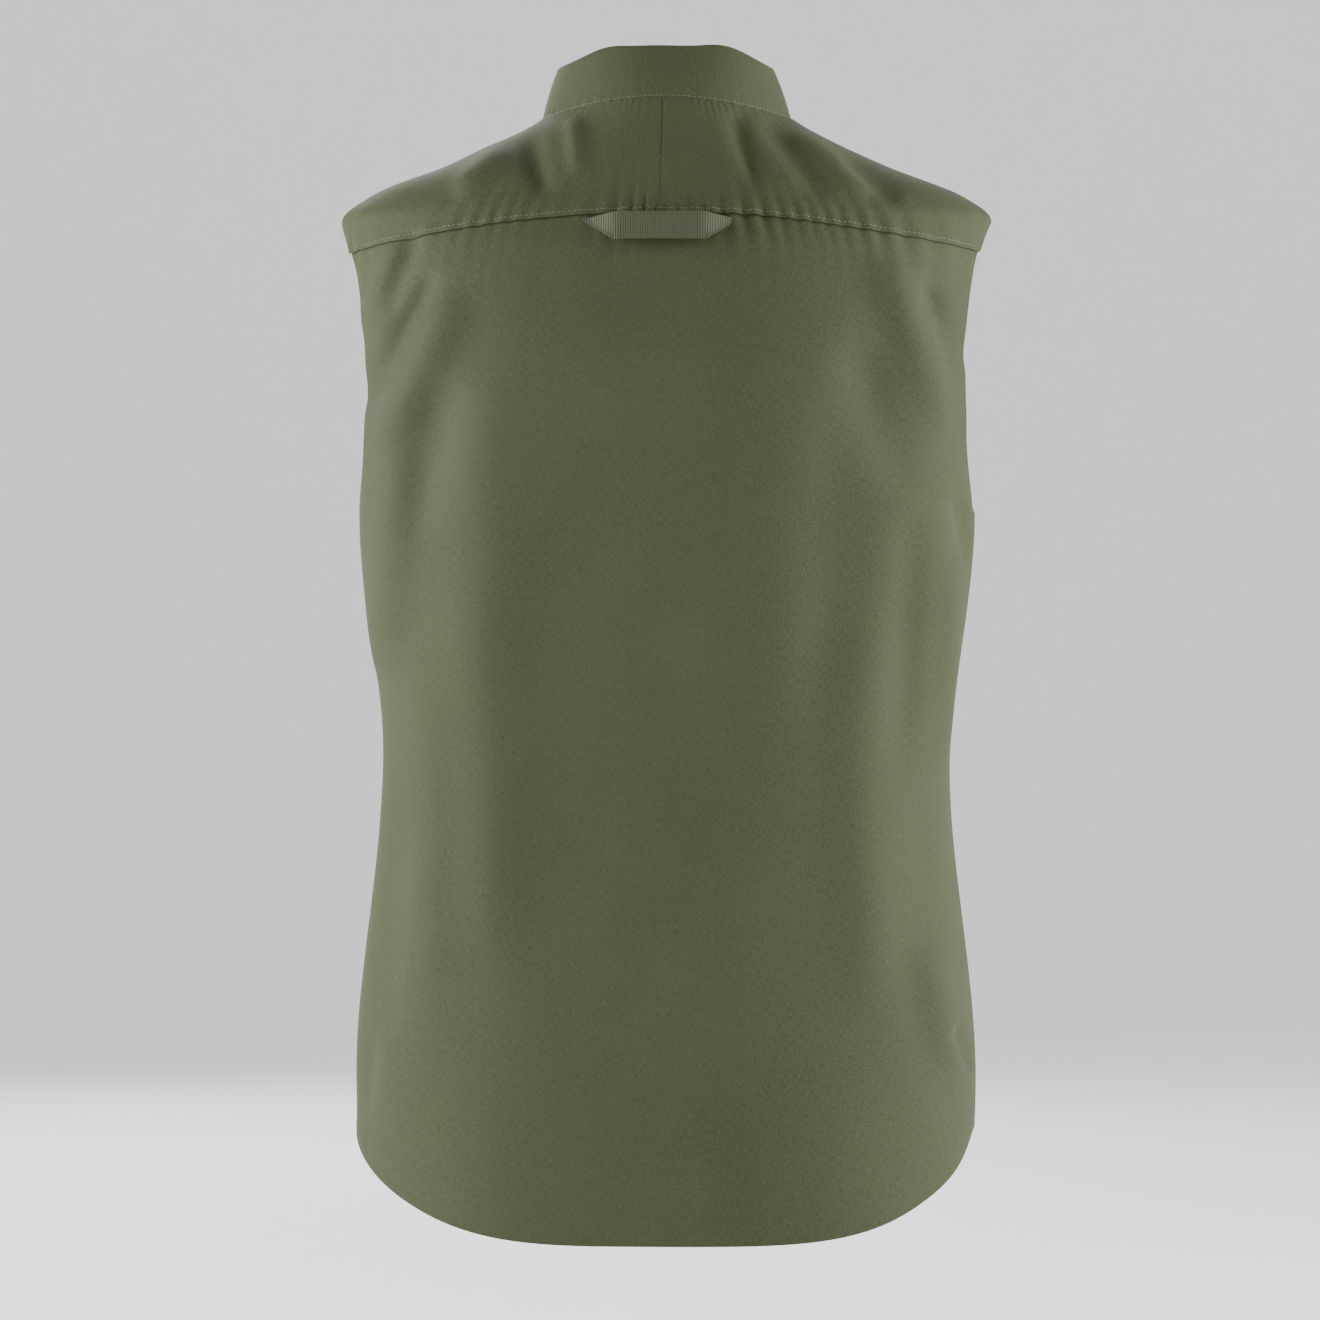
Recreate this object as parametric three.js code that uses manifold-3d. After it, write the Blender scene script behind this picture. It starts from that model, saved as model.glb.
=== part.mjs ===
// Fishing vest with a stand collar: back panel, two-piece shoulder yoke, webbing hang loop, two fronts
// that swing open from a separating zip, four bellows pockets with snap flaps, and a tool ring.
// Millimetres, +Z up. The front faces -Y and the wearer's left is +X. The origin is midway between the
// shoulders, where the wearer carries the vest.
import * as THREE from "three";
import { mergeVertices } from "three/addons/utils/BufferGeometryUtils.js";
import Module from "manifold-3d";

const { degToRad, lerp, smoothstep } = THREE.MathUtils;
const wasm = await Module();
wasm.setup();

// Heights, each measured up from the one before. The datum is the lowest point of the back hem.
const BODY_LENGTH = 413; // datum to armpit
const ARMHOLE_DEPTH = 167; // armpit to shoulder tip
const SHOULDER_RISE = 57; // shoulder tip to the neck end of the shoulder
const NAPE_RISE = 13; // neck end of the shoulder to the nape
const NECK_DROP = 45; // neck end of the shoulder down to the front neck point
const HIP_HEIGHT = 85;
const WAIST_HEIGHT = 270;
const SHOULDER_LEVEL = 605; // height of the origin over the datum

// Half widths and depths of the worn vest.
const HEM_HALF = 174;
const HIP_HALF = 175;
const WAIST_HALF = 162;
const CHEST_HALF = 176;
const ACROSS_HALF = 176;
const SHOULDER_HALF = 183;
const NECK_HALF = 71;
const HEM_BACK = 105;
const HIP_BACK = 104;
const WAIST_BACK = 97;
const CHEST_BACK = 109;
const BLADE_BACK = 112;
const SHOULDER_BACK = 99;
const NECK_BACK = 68;
const NAPE_BACK = 60;
const FRONT_NECK_DEPTH = 84; // centre front, at the neck point
const FRONT_SLOPE = 0.0488; // how much the straight centre front comes forward per millimetre down
const NECK_ROUNDING = 0.0108; // how fast the front falls back above the neck point

// Cut lines.
const HEM_RISE = 60; // side seam end over the datum
const FRONT_HEM_LIFT = 18; // centre front hem over the datum
const HEM_SHARPNESS = 4.3;
const YOKE_DROP = 66; // nape to the back yoke seam
const YOKE_SEAM_FALL = 23; // how much that seam falls towards the armholes
const YOKE_SEAM_SHARPNESS = 3.5;
const YOKE_LAP = 3; // back panel under the yoke
const YOKE_FRONT = degToRad(112); // where the yoke ends over the front of the shoulder
const ARMHOLE_BACK = degToRad(15);
const ARMHOLE_FRONT = degToRad(27);
const ARMHOLE_SHARPNESS = 2.4;
const SIDE_SEAM = degToRad(90);
const SEAM_GAP = degToRad(0.5);

// Cloth layers, as offsets from the inner face of the panels.
const CLOTH = 1.2;
const LAYER_GAP = 0.9; // between layers that lie on each other
const CLEARANCE = 0.3; // between pieces that touch
const FACING = 0.9;
const FACING_GAP = 1.7; // between a panel and the facing behind it
const FACING_WIDTH = 24;

const COLLAR_HEIGHT = 34;
const COLLAR_LEAN_BACK = degToRad(32);
const COLLAR_LEAN_SIDE = degToRad(17);
const COLLAR_SPLIT = degToRad(110); // where the collar's back section ends and its front ones begin
const COLLAR_BASE_GAP = 1;

// Separating zip along the centre front.
const ZIP_EDGE = 7; // centre line to the folded edge of each front
const CHAIN_INNER = 1.1;
const CHAIN_OUTER = 3.2;
const CHAIN_FRONT = 0.8;
const CHAIN_BACK = -2.6;
const TAPE_WIDTH = 12;
const TAPE_FRONT = -1.6;
const TAPE_THICK = 0.7;
const ZIP_BOTTOM_MARGIN = 6;
const ZIP_TOP_MARGIN = 9;
const BOX_LENGTH = 8;
const STOP_LENGTH = 3;
const SLIDER_LENGTH = 12;
const SLIDER_HALF = 5;
const SLIDER_PLATE = 1.2;
const BRIDGE_HALF = 1.1; // the diamond between the slider's plates, half its length
const BAIL_HALF = 3; // half the length of the arch that holds the pull
const BAIL_WALL = 1.2;
const BAIL_HEIGHT = 2.5;
const BAIL_WIDTH = 1.6;
const PULL_THICK = 1.4;
const PULL_LENGTH = 25;
const PULL_WIDTH = 5.6;

// Pockets, on each front.
const CHEST_POCKET = {
  name: "chest", inner: 28, outer: 114, bottom: BODY_LENGTH - 38, height: 95,
  topDepth: 16, bottomDepth: 22, flapDrop: 44,
};
const LOWER_POCKET = {
  name: "lower", inner: 28, outer: 132, bottom: 80, height: 125,
  topDepth: 22, bottomDepth: 30, flapDrop: 52,
};
const POCKET_WALL = 1.2;
const FLAP_RISE = 12; // flap seam above the pocket's mouth
const FLAP_OVERHANG = 2; // flap wider than the pocket on each side
const FLAP_LIFT = 2.6; // room for the snap between the flap and the pocket
const FLAP_THICK = 1.4;
const SNAP_FROM_EDGE = 12;
const CAP_R = 6.2;
const CAP_THICK = 1.7;
const SHANK_R = 2.6;
const SOCKET_R = 5;
const SOCKET_THICK = 0.9;
const STUD_BASE_R = 4.6;
const STUD_BASE_THICK = 0.8;
const STUD_R = 1.7;
const STUD_HEIGHT = 1.8;

// Hang loop of ribbed webbing in the middle of the back yoke seam.
const LOOP_TOP = 88;
const LOOP_BOTTOM = 52;
const LOOP_HEIGHT = 16;
const LOOP_THICK = 1.4;
const LOOP_STAND_OFF = 6.5;
const LOOP_BELOW_SEAM = 2.2;
const LOOP_BEND = 9;

// Inner neck loop, tool ring and its tab.
const NECK_LOOP_WIDTH = 56;
const NECK_LOOP_DROP = 16;
const NECK_LOOP_BAND = 5;
const RING_WIDTH = 24;
const RING_HEIGHT = 19;
const RING_WIRE = 1.8;
const RING_PLAY = 0.327; // around the corners of the ring's bar in its tunnel
const RING_TUNNEL_R = RING_WIRE * Math.SQRT1_2 + RING_PLAY;
const TAB_WIDTH = 15;
const TAB_HEIGHT = 15;
const TAB_THICK = 5.2;
const TAB_X = 71;
const TAB_ABOVE_FLAP = 26;

const ARMPIT = BODY_LENGTH;
const TIP = ARMPIT + ARMHOLE_DEPTH;
const NECK = TIP + SHOULDER_RISE;
const NAPE = NECK + NAPE_RISE;
const FRONT_NECK = NECK - NECK_DROP;
const ARMHOLE_CENTRE = (ARMPIT + TIP) / 2;

// The worn shape: height, half width, back depth, and how square the back and front sections are.
const FORM = [
  [0, HEM_HALF, HEM_BACK, 2.3, 2.3],
  [HIP_HEIGHT, HIP_HALF, HIP_BACK, 2.3, 2.3],
  [WAIST_HEIGHT, WAIST_HALF, WAIST_BACK, 2.3, 2.4],
  [ARMPIT, CHEST_HALF, CHEST_BACK, 2.4, 2.8],
  [ARMHOLE_CENTRE, ACROSS_HALF, BLADE_BACK, 2.4, 2.7],
  [TIP - 20, SHOULDER_HALF - 5, (BLADE_BACK + SHOULDER_BACK) / 2, 2.3, 2.4],
  [TIP, SHOULDER_HALF, SHOULDER_BACK, 2.2, 2.3],
  [lerp(TIP, NECK, 0.21), lerp(SHOULDER_HALF, NECK_HALF, 0.18), 93, 2.2, 2.2],
  [lerp(TIP, NECK, 0.54), lerp(SHOULDER_HALF, NECK_HALF, 0.57), 84, 2.1, 2.2],
  [NECK, NECK_HALF, NECK_BACK, 2, 2],
  [NAPE, NECK_HALF - NAPE_RISE, NAPE_BACK, 2, 2],
];

// A column of FORM at a height: a cubic through the stations that doesn't overshoot.
function station(column, z) {
  const last = FORM.length - 1;
  const rise = (i) => (FORM[i + 1][column] - FORM[i][column]) / (FORM[i + 1][0] - FORM[i][0]);
  const slope = (i) => {
    if (i === 0) return rise(0);
    if (i === last) return rise(last - 1);
    const [before, after] = [rise(i - 1), rise(i)];
    return before * after <= 0 ? 0 : (2 * before * after) / (before + after);
  };
  if (z <= FORM[0][0]) return FORM[0][column] + rise(0) * (z - FORM[0][0]);
  if (z >= FORM[last][0]) return FORM[last][column] + rise(last - 1) * (z - FORM[last][0]);
  const i = FORM.findIndex((row) => row[0] > z) - 1;
  const span = FORM[i + 1][0] - FORM[i][0];
  const t = (z - FORM[i][0]) / span;
  const [a, b] = [FORM[i][column], FORM[i + 1][column]];
  return (
    a * (1 + 2 * t) * (1 - t) ** 2 + b * t * t * (3 - 2 * t) +
    span * (slope(i) * t * (1 - t) ** 2 - slope(i + 1) * t * t * (1 - t))
  );
}

function frontDepth(z) {
  const above = Math.max(0, z - FRONT_NECK);
  return FRONT_NECK_DEPTH + (FRONT_NECK - z) * FRONT_SLOPE - NECK_ROUNDING * above ** 2;
}

// A point of the worn shape. turn runs from 0 at the centre back to 180 degrees at the centre front,
// positive on the wearer's left.
function onForm(turn, z) {
  const [s, c] = [Math.sin(turn), Math.cos(turn)];
  const square = station(c < 0 ? 4 : 3, z);
  const depth = c < 0 ? frontDepth(z) : station(2, z);
  const r = (Math.abs(s / station(1, z)) ** square + Math.abs(c / depth) ** square) ** (-1 / square);
  return new THREE.Vector3(r * s, r * c, z);
}

function normalOf(turn, z) {
  const step = 1e-3;
  const across = onForm(turn + step, z).sub(onForm(turn - step, z));
  const up = onForm(turn, z + step).sub(onForm(turn, z - step));
  const n = up.cross(across).normalize();
  return n.dot(new THREE.Vector3(Math.sin(turn), Math.cos(turn), 0)) < 0 ? n.negate() : n;
}

function offForm(turn, z, offset) {
  return onForm(turn, z).addScaledVector(normalOf(turn, z), offset);
}

// The turn at which the front of the form has a given x.
function turnAtX(x, z) {
  let [low, high] = [SIDE_SEAM, Math.PI];
  for (let i = 0; i < 40; i++) {
    const mid = (low + high) / 2;
    if (onForm(mid, z).x > x) low = mid;
    else high = mid;
  }
  return low;
}

// Cut lines as functions of the turn or the height.
const breadth = (turn) => Math.abs(onForm(turn, HIP_HEIGHT).x) / HIP_HALF;
const backHem = (turn) => HEM_RISE * breadth(turn) ** HEM_SHARPNESS;
const frontHem = (turn) => lerp(FRONT_HEM_LIFT, HEM_RISE, breadth(turn) ** HEM_SHARPNESS);
const yokeSeam = (turn) => NAPE - YOKE_DROP - YOKE_SEAM_FALL * Math.abs(Math.sin(turn)) ** YOKE_SEAM_SHARPNESS;

function neckline(turn) {
  const c = Math.cos(turn);
  return c > 0 ? NECK + NAPE_RISE * c ** 2 : NECK - NECK_DROP * c ** 4;
}

// How far the armhole opens from the side line at a height, as a share of its widest.
function armholeShare(z) {
  const t = Math.min(1, Math.abs(z - ARMHOLE_CENTRE) / (ARMHOLE_DEPTH / 2));
  return (1 - t ** ARMHOLE_SHARPNESS) ** (1 / ARMHOLE_SHARPNESS);
}

// The height of the armhole's upper edge at a turn.
function armholeTop(turn) {
  const away = Math.abs(turn) - SIDE_SEAM;
  const share = Math.min(1, Math.abs(away) / (away < 0 ? ARMHOLE_BACK : ARMHOLE_FRONT));
  return ARMHOLE_CENTRE + (ARMHOLE_DEPTH / 2) * (1 - share ** ARMHOLE_SHARPNESS) ** (1 / ARMHOLE_SHARPNESS);
}

// Geometry helpers.
function solidFrom(geometry) {
  const bare = geometry.clone();
  bare.deleteAttribute("normal");
  bare.deleteAttribute("uv");
  const merged = mergeVertices(bare, 1e-4);
  return new wasm.Manifold(
    new wasm.Mesh({
      numProp: 3,
      vertProperties: merged.attributes.position.array,
      triVerts: new Uint32Array(merged.index.array),
    }),
  );
}

function geometryOf(solid) {
  const mesh = solid.getMesh();
  const geometry = new THREE.BufferGeometry();
  geometry.setAttribute("position", new THREE.BufferAttribute(new Float32Array(mesh.vertProperties), 3));
  geometry.setIndex(new THREE.BufferAttribute(mesh.triVerts, 1));
  return geometry;
}

const join = (first, ...others) => geometryOf(others.reduce((s, g) => s.add(solidFrom(g)), solidFrom(first)));
const cut = (first, ...others) =>
  geometryOf(others.reduce((s, g) => s.subtract(solidFrom(g)), solidFrom(first)));

// A box bent into place: place(u, v, w) gives the point for each corner of its grid, all from 0 to 1.
function bent(across, up, place, through = 1) {
  const geometry = new THREE.BoxGeometry(1, 1, 1, across, up, through);
  const at = geometry.attributes.position;
  for (let i = 0; i < at.count; i++) {
    const p = place(at.getX(i) + 0.5, at.getY(i) + 0.5, at.getZ(i) + 0.5);
    at.setXYZ(i, p.x, p.y, p.z);
  }
  const [a, b, c] = [new THREE.Vector3(), new THREE.Vector3(), new THREE.Vector3()];
  const index = geometry.index;
  let volume = 0;
  for (let i = 0; i < index.count; i += 3) {
    a.fromBufferAttribute(at, index.getX(i));
    b.fromBufferAttribute(at, index.getX(i + 1));
    c.fromBufferAttribute(at, index.getX(i + 2));
    volume += a.dot(b.cross(c));
  }
  if (volume < 0) {
    for (let i = 0; i < index.count; i += 3) {
      const first = index.getX(i);
      index.setX(i, index.getX(i + 1));
      index.setX(i + 1, first);
    }
  }
  foldShortWay(geometry);
  geometry.computeVertexNormals();
  return geometry;
}

// Splits each square of a grid along its shorter diagonal, so that a skewed one still follows its curve.
function foldShortWay(geometry) {
  const { index, attributes } = geometry;
  const at = (i) => new THREE.Vector3().fromBufferAttribute(attributes.position, i);
  for (let i = 0; i < index.count; i += 6) {
    const first = [index.getX(i), index.getX(i + 1), index.getX(i + 2)];
    const second = [index.getX(i + 3), index.getX(i + 4), index.getX(i + 5)];
    const shared = first.filter((k) => second.includes(k));
    const [lone] = first.filter((k) => !second.includes(k));
    const [opposite] = second.filter((k) => !first.includes(k));
    if (at(lone).distanceTo(at(opposite)) >= at(shared[0]).distanceTo(at(shared[1]))) continue;
    const turn = first.indexOf(lone);
    const [next, last] = [first[(turn + 1) % 3], first[(turn + 2) % 3]];
    [lone, next, opposite, lone, opposite, last].forEach((k, j) => index.setX(i + j, k));
  }
}

// A cloth layer on the form, between two offsets. where(u, v) gives its turn and height.
function layer(across, up, where, inner, outer) {
  return bent(across, up, (u, v, w) => offForm(...where(u, v), lerp(inner, outer, w)));
}

// Materials.
const shell = () => new THREE.MeshStandardMaterial({ color: 0x5a5f43, roughness: 0.85, metalness: 0 });
const lining = () => new THREE.MeshStandardMaterial({ color: 0x505539, roughness: 0.9, metalness: 0 });
const webbing = () => new THREE.MeshStandardMaterial({ color: 0x606a4f, roughness: 0.7, metalness: 0 });
const zipCloth = () => new THREE.MeshStandardMaterial({ color: 0x4a4f38, roughness: 0.85, metalness: 0 });
const plastic = () => new THREE.MeshStandardMaterial({ color: 0x3c402e, roughness: 0.45, metalness: 0 });
const metal = () => new THREE.MeshStandardMaterial({ color: 0x6f6a5a, roughness: 0.35, metalness: 1 });

const vest = new THREE.Group();
vest.position.z = -SHOULDER_LEVEL;

function add(name, geometry, material, parent = vest) {
  const mesh = new THREE.Mesh(geometry, material);
  mesh.name = name;
  parent.add(mesh);
  return mesh;
}

// A group whose +Z points out of a surface over the form, +Y up along it and +X across it. offset(z) is how
// far that surface stands off the form.
function onSurface(turn, z, offset) {
  const step = 1;
  const surface = (t, h) => offForm(t, h, offset(h));
  const upward = surface(turn, z + step).sub(surface(turn, z - step));
  const sideways = surface(turn + step * 1e-2, z).sub(surface(turn - step * 1e-2, z));
  const out = upward.cross(sideways).normalize();
  const up = new THREE.Vector3(0, 0, 1).addScaledVector(out, -out.z).normalize();
  const across = up.clone().cross(out);
  const group = new THREE.Group();
  group.quaternion.setFromRotationMatrix(new THREE.Matrix4().makeBasis(across, up, out));
  group.position.copy(surface(turn, z));
  vest.add(group);
  return group;
}

// ---- Back: one panel from side seam to side seam, and the facing behind its hem.
const PIT_ROW = 0.5; // share of a panel's rows that lie below the armpit

function rowHeight(v, hem, top) {
  return v < PIT_ROW ? lerp(hem, ARMPIT, v / PIT_ROW) : lerp(ARMPIT, top, (v - PIT_ROW) / (1 - PIT_ROW));
}

// What an armhole takes out of the panels, from well inside the form to well outside.
const THROUGH = 8;

function armholePlug(sign) {
  return bent(6, 14, (u, v, w) => {
    const z = ARMHOLE_CENTRE - (ARMHOLE_DEPTH / 2) * Math.cos(Math.PI * lerp(0.02, 0.98, v));
    const share = armholeShare(z);
    const turn = SIDE_SEAM + lerp(-ARMHOLE_BACK, ARMHOLE_FRONT, u) * share;
    return offForm(sign * turn, z, lerp(-THROUGH, THROUGH, w));
  });
}

function backPlace(u, v) {
  const turn = (2 * u - 1) * (SIDE_SEAM - SEAM_GAP);
  return [turn, rowHeight(v, backHem(turn), yokeSeam(turn) + YOKE_LAP)];
}

add("back_panel", cut(layer(28, 14, backPlace, 0, CLOTH), armholePlug(1), armholePlug(-1)), shell());

function hemFacing(across, from, to, hem) {
  return layer(
    across, 1,
    (u, v) => {
      const turn = lerp(from, to, u);
      return [turn, hem(turn) + v * FACING_WIDTH];
    },
    -FACING_GAP - FACING, -FACING_GAP,
  );
}

const FACING_END = SIDE_SEAM - degToRad(2);
add("hem_facing_back", hemFacing(24, -FACING_END, FACING_END, backHem), lining());

// ---- Yoke: left and right halves over the shoulders, joined at the centre back, and one lining.
const YOKE_INNER = CLOTH + LAYER_GAP;
const yokeEdge = (turn) => {
  const seam = Math.abs(turn) < SIDE_SEAM ? yokeSeam(turn) : 0;
  return Math.max(seam, armholeTop(turn));
};

for (const [side, sign] of [["left", 1], ["right", -1]]) {
  const place = (u, v) => {
    const turn = sign * lerp(degToRad(0.4), YOKE_FRONT, u);
    return [turn, lerp(yokeEdge(turn), neckline(turn), v)];
  };
  add(`yoke_${side}`, layer(20, 6, place, YOKE_INNER, YOKE_INNER + CLOTH), shell());
}

const YOKE_LINING_END = degToRad(66);
add(
  "yoke_lining",
  layer(
    16, 4,
    (u, v) => {
      const turn = lerp(-YOKE_LINING_END, YOKE_LINING_END, u);
      return [turn, lerp(yokeSeam(turn) + 3, neckline(turn) - 3, v)];
    },
    -FACING_GAP - FACING, -FACING_GAP,
  ),
  lining(),
);

// ---- Armhole facings: a strip inside each armhole, whose front part goes with the front.
function armholePoint(around) {
  // around runs from the armpit (0), up the back, over the shoulder tip (0.5), to the armpit (1)
  const a = around * 2 * Math.PI;
  const power = 2 / ARMHOLE_SHARPNESS;
  const high = -Math.sign(Math.cos(a)) * Math.abs(Math.cos(a)) ** power;
  const wide = -Math.sign(Math.sin(a)) * Math.abs(Math.sin(a)) ** power;
  return [SIDE_SEAM + wide * (wide < 0 ? ARMHOLE_BACK : ARMHOLE_FRONT), ARMHOLE_CENTRE + (high * ARMHOLE_DEPTH) / 2];
}

const ARMHOLE_STRIP = 11;

function armholeFacing(sign, from, to, steps) {
  return layer(
    steps, 1,
    (u, v) => {
      const around = lerp(from, to, u);
      const [turn, z] = armholePoint(around);
      const a = around * 2 * Math.PI;
      const aside = (-Math.sin(a) * ARMHOLE_STRIP * v) / SHOULDER_HALF;
      return [sign * (turn + aside * 1.2), z - Math.cos(a) * ARMHOLE_STRIP * v];
    },
    -FACING_GAP - FACING, -FACING_GAP,
  );
}

// ---- Collar: an outer band and a lining, in a back section and two front sections.
function collarLean(turn) {
  const c = Math.cos(turn);
  const end = c > 0 ? COLLAR_LEAN_BACK : Math.atan(FRONT_SLOPE);
  return lerp(COLLAR_LEAN_SIDE, end, c * c);
}

function onCollar(turn, height, offset) {
  const base = onForm(turn, neckline(turn));
  const inward = new THREE.Vector3(-base.x, -base.y, 0).normalize();
  const lean = collarLean(turn);
  const rise = inward.clone().multiplyScalar(Math.sin(lean)).add(new THREE.Vector3(0, 0, Math.cos(lean)));
  const out = inward.clone().multiplyScalar(-Math.cos(lean)).add(new THREE.Vector3(0, 0, Math.sin(lean)));
  return base.addScaledVector(rise, height).addScaledVector(out, offset);
}

function collarBand(from, to, across, inner, outer, bottom, top) {
  return bent(across, 2, (u, v, w) => onCollar(lerp(from, to, u), lerp(bottom, top, v), lerp(inner, outer, w)));
}

const COLLAR_BOTTOM = YOKE_INNER + CLOTH + COLLAR_BASE_GAP;
const LINING_BACK = -LAYER_GAP - FACING;
add("collar_back", collarBand(-COLLAR_SPLIT, COLLAR_SPLIT, 22, 0, CLOTH, COLLAR_BOTTOM, COLLAR_HEIGHT), shell());
add(
  "collar_lining_back",
  collarBand(-COLLAR_SPLIT, COLLAR_SPLIT, 22, LINING_BACK, -LAYER_GAP, COLLAR_BOTTOM, COLLAR_HEIGHT - 1),
  lining(),
);

// ---- Fronts. Each side is built by the same steps, mirrored by sign.
const ZIP_TILT = Math.atan(FRONT_SLOPE);
const ZIP_BOTTOM = FRONT_HEM_LIFT + ZIP_BOTTOM_MARGIN;
const ZIP_TOP = FRONT_NECK + COLLAR_HEIGHT - ZIP_TOP_MARGIN;
const centreFront = (x, z, offset) => {
  const y = -(FRONT_NECK_DEPTH + (FRONT_NECK - z) * FRONT_SLOPE);
  return new THREE.Vector3(x, y - offset * Math.cos(ZIP_TILT), z + offset * Math.sin(ZIP_TILT));
};

function zipStrip(sign, inner, outer, bottom, top, back, front) {
  return bent(1, 1, (u, v, w) => centreFront(sign * lerp(inner, outer, u), lerp(bottom, top, v), lerp(back, front, w)));
}

function frontPlace(sign) {
  return (u, v) => {
    const turn = lerp(SIDE_SEAM + SEAM_GAP, Math.PI, u);
    const z = rowHeight(v, frontHem(turn), neckline(turn) - CLEARANCE);
    return [sign * lerp(SIDE_SEAM + SEAM_GAP, turnAtX(ZIP_EDGE, z), u), z];
  };
}

// What the yoke takes out of a front panel's upper corner.
function yokeCorner(sign) {
  return bent(4, 12, (u, v, w) =>
    offForm(
      sign * lerp(SIDE_SEAM - degToRad(5), YOKE_FRONT + SEAM_GAP, u),
      lerp(ARMHOLE_CENTRE, NAPE, v),
      lerp(-THROUGH, THROUGH, w),
    ),
  );
}

// A stretch of the front as seen from ahead: x from inner to outer, between two heights.
function frontPatch(sign, across, up, inner, outer, bottom, top, offsets) {
  return bent(across, up, (u, v, w) => {
    const z = lerp(bottom, top, v);
    return offForm(sign * turnAtX(lerp(inner, outer, u), z), z, offsets(v, w));
  });
}

const depthAt = (pocket, v) => lerp(pocket.bottomDepth, pocket.topDepth, v);

function pocketTray(sign, pocket) {
  const { inner, outer, bottom, height } = pocket;
  const back = CLOTH + CLEARANCE;
  const whole = frontPatch(sign, 8, 4, inner, outer, bottom, bottom + height, (v, w) =>
    lerp(back, depthAt(pocket, v), w),
  );
  const hollow = frontPatch(
    sign, 8, 4, inner + POCKET_WALL, outer - POCKET_WALL, bottom + POCKET_WALL, bottom + height + 5,
    (v, w) => lerp(back - 1, depthAt(pocket, v * ((height + 5) / height)) - POCKET_WALL, w),
  );
  return cut(whole, hollow);
}

const mouthOf = (pocket) => pocket.bottom + pocket.height;
const snapHeight = (pocket) => mouthOf(pocket) + FLAP_RISE - pocket.flapDrop + SNAP_FROM_EDGE;
const snapTurn = (pocket) => turnAtX((pocket.inner + pocket.outer) / 2, snapHeight(pocket));
const wallAt = (pocket) => (z) => depthAt(pocket, (z - pocket.bottom) / pocket.height);

function flapShell(sign, pocket) {
  const top = mouthOf(pocket) + FLAP_RISE;
  const bottom = top - pocket.flapDrop;
  const edge = CLOTH + 2 * CLEARANCE;
  const inner = (v) => {
    const z = lerp(bottom, top, v);
    const over = wallAt(pocket)(z) + FLAP_LIFT;
    return lerp(over, edge, smoothstep(z, mouthOf(pocket) + 1, top - 1));
  };
  const flap = frontPatch(
    sign, 8, 8, pocket.inner - FLAP_OVERHANG, pocket.outer + FLAP_OVERHANG, bottom, top,
    (v, w) => inner(v) + w * FLAP_THICK,
  );
  const drill = new THREE.CylinderGeometry(SHANK_R + CLEARANCE, SHANK_R + CLEARANCE, 30, 16);
  drill.rotateX(Math.PI / 2);
  const frame = onSurface(sign * snapTurn(pocket), snapHeight(pocket), wallAt(pocket));
  drill.applyQuaternion(frame.quaternion).translate(...frame.position.toArray());
  vest.remove(frame);
  return cut(flap, drill);
}

// A lathe profile turned so that its axis is +Z.
const turned = (points) =>
  new THREE.LatheGeometry(points.map(([r, h]) => new THREE.Vector2(r, h)), 16).rotateX(Math.PI / 2);

// Cap, shank and socket of a snap, measured out from the pocket's wall.
function snapCap() {
  const socket = CLEARANCE + STUD_BASE_THICK + CLEARANCE;
  const flapIn = socket + SOCKET_THICK + CLEARANCE;
  const flapOut = FLAP_LIFT + FLAP_THICK;
  const capBase = Math.max(flapIn, flapOut) + CLEARANCE;
  const recess = STUD_R + 0.4;
  return turned([
    [0, CLEARANCE + STUD_BASE_THICK + STUD_HEIGHT + CLEARANCE],
    [recess, CLEARANCE + STUD_BASE_THICK + STUD_HEIGHT + CLEARANCE],
    [recess, socket],
    [SOCKET_R, socket],
    [SOCKET_R, socket + SOCKET_THICK],
    [SHANK_R, socket + SOCKET_THICK],
    [SHANK_R, capBase],
    [CAP_R, capBase],
    [CAP_R - 0.7, capBase + CAP_THICK * 0.7],
    [CAP_R - 2, capBase + CAP_THICK],
    [0, capBase + CAP_THICK],
  ]);
}

function snapStud() {
  return turned([
    [0, CLEARANCE],
    [STUD_BASE_R, CLEARANCE],
    [STUD_BASE_R, CLEARANCE + STUD_BASE_THICK],
    [STUD_R, CLEARANCE + STUD_BASE_THICK],
    [STUD_R, CLEARANCE + STUD_BASE_THICK + STUD_HEIGHT],
    [0, CLEARANCE + STUD_BASE_THICK + STUD_HEIGHT],
  ]);
}

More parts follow.
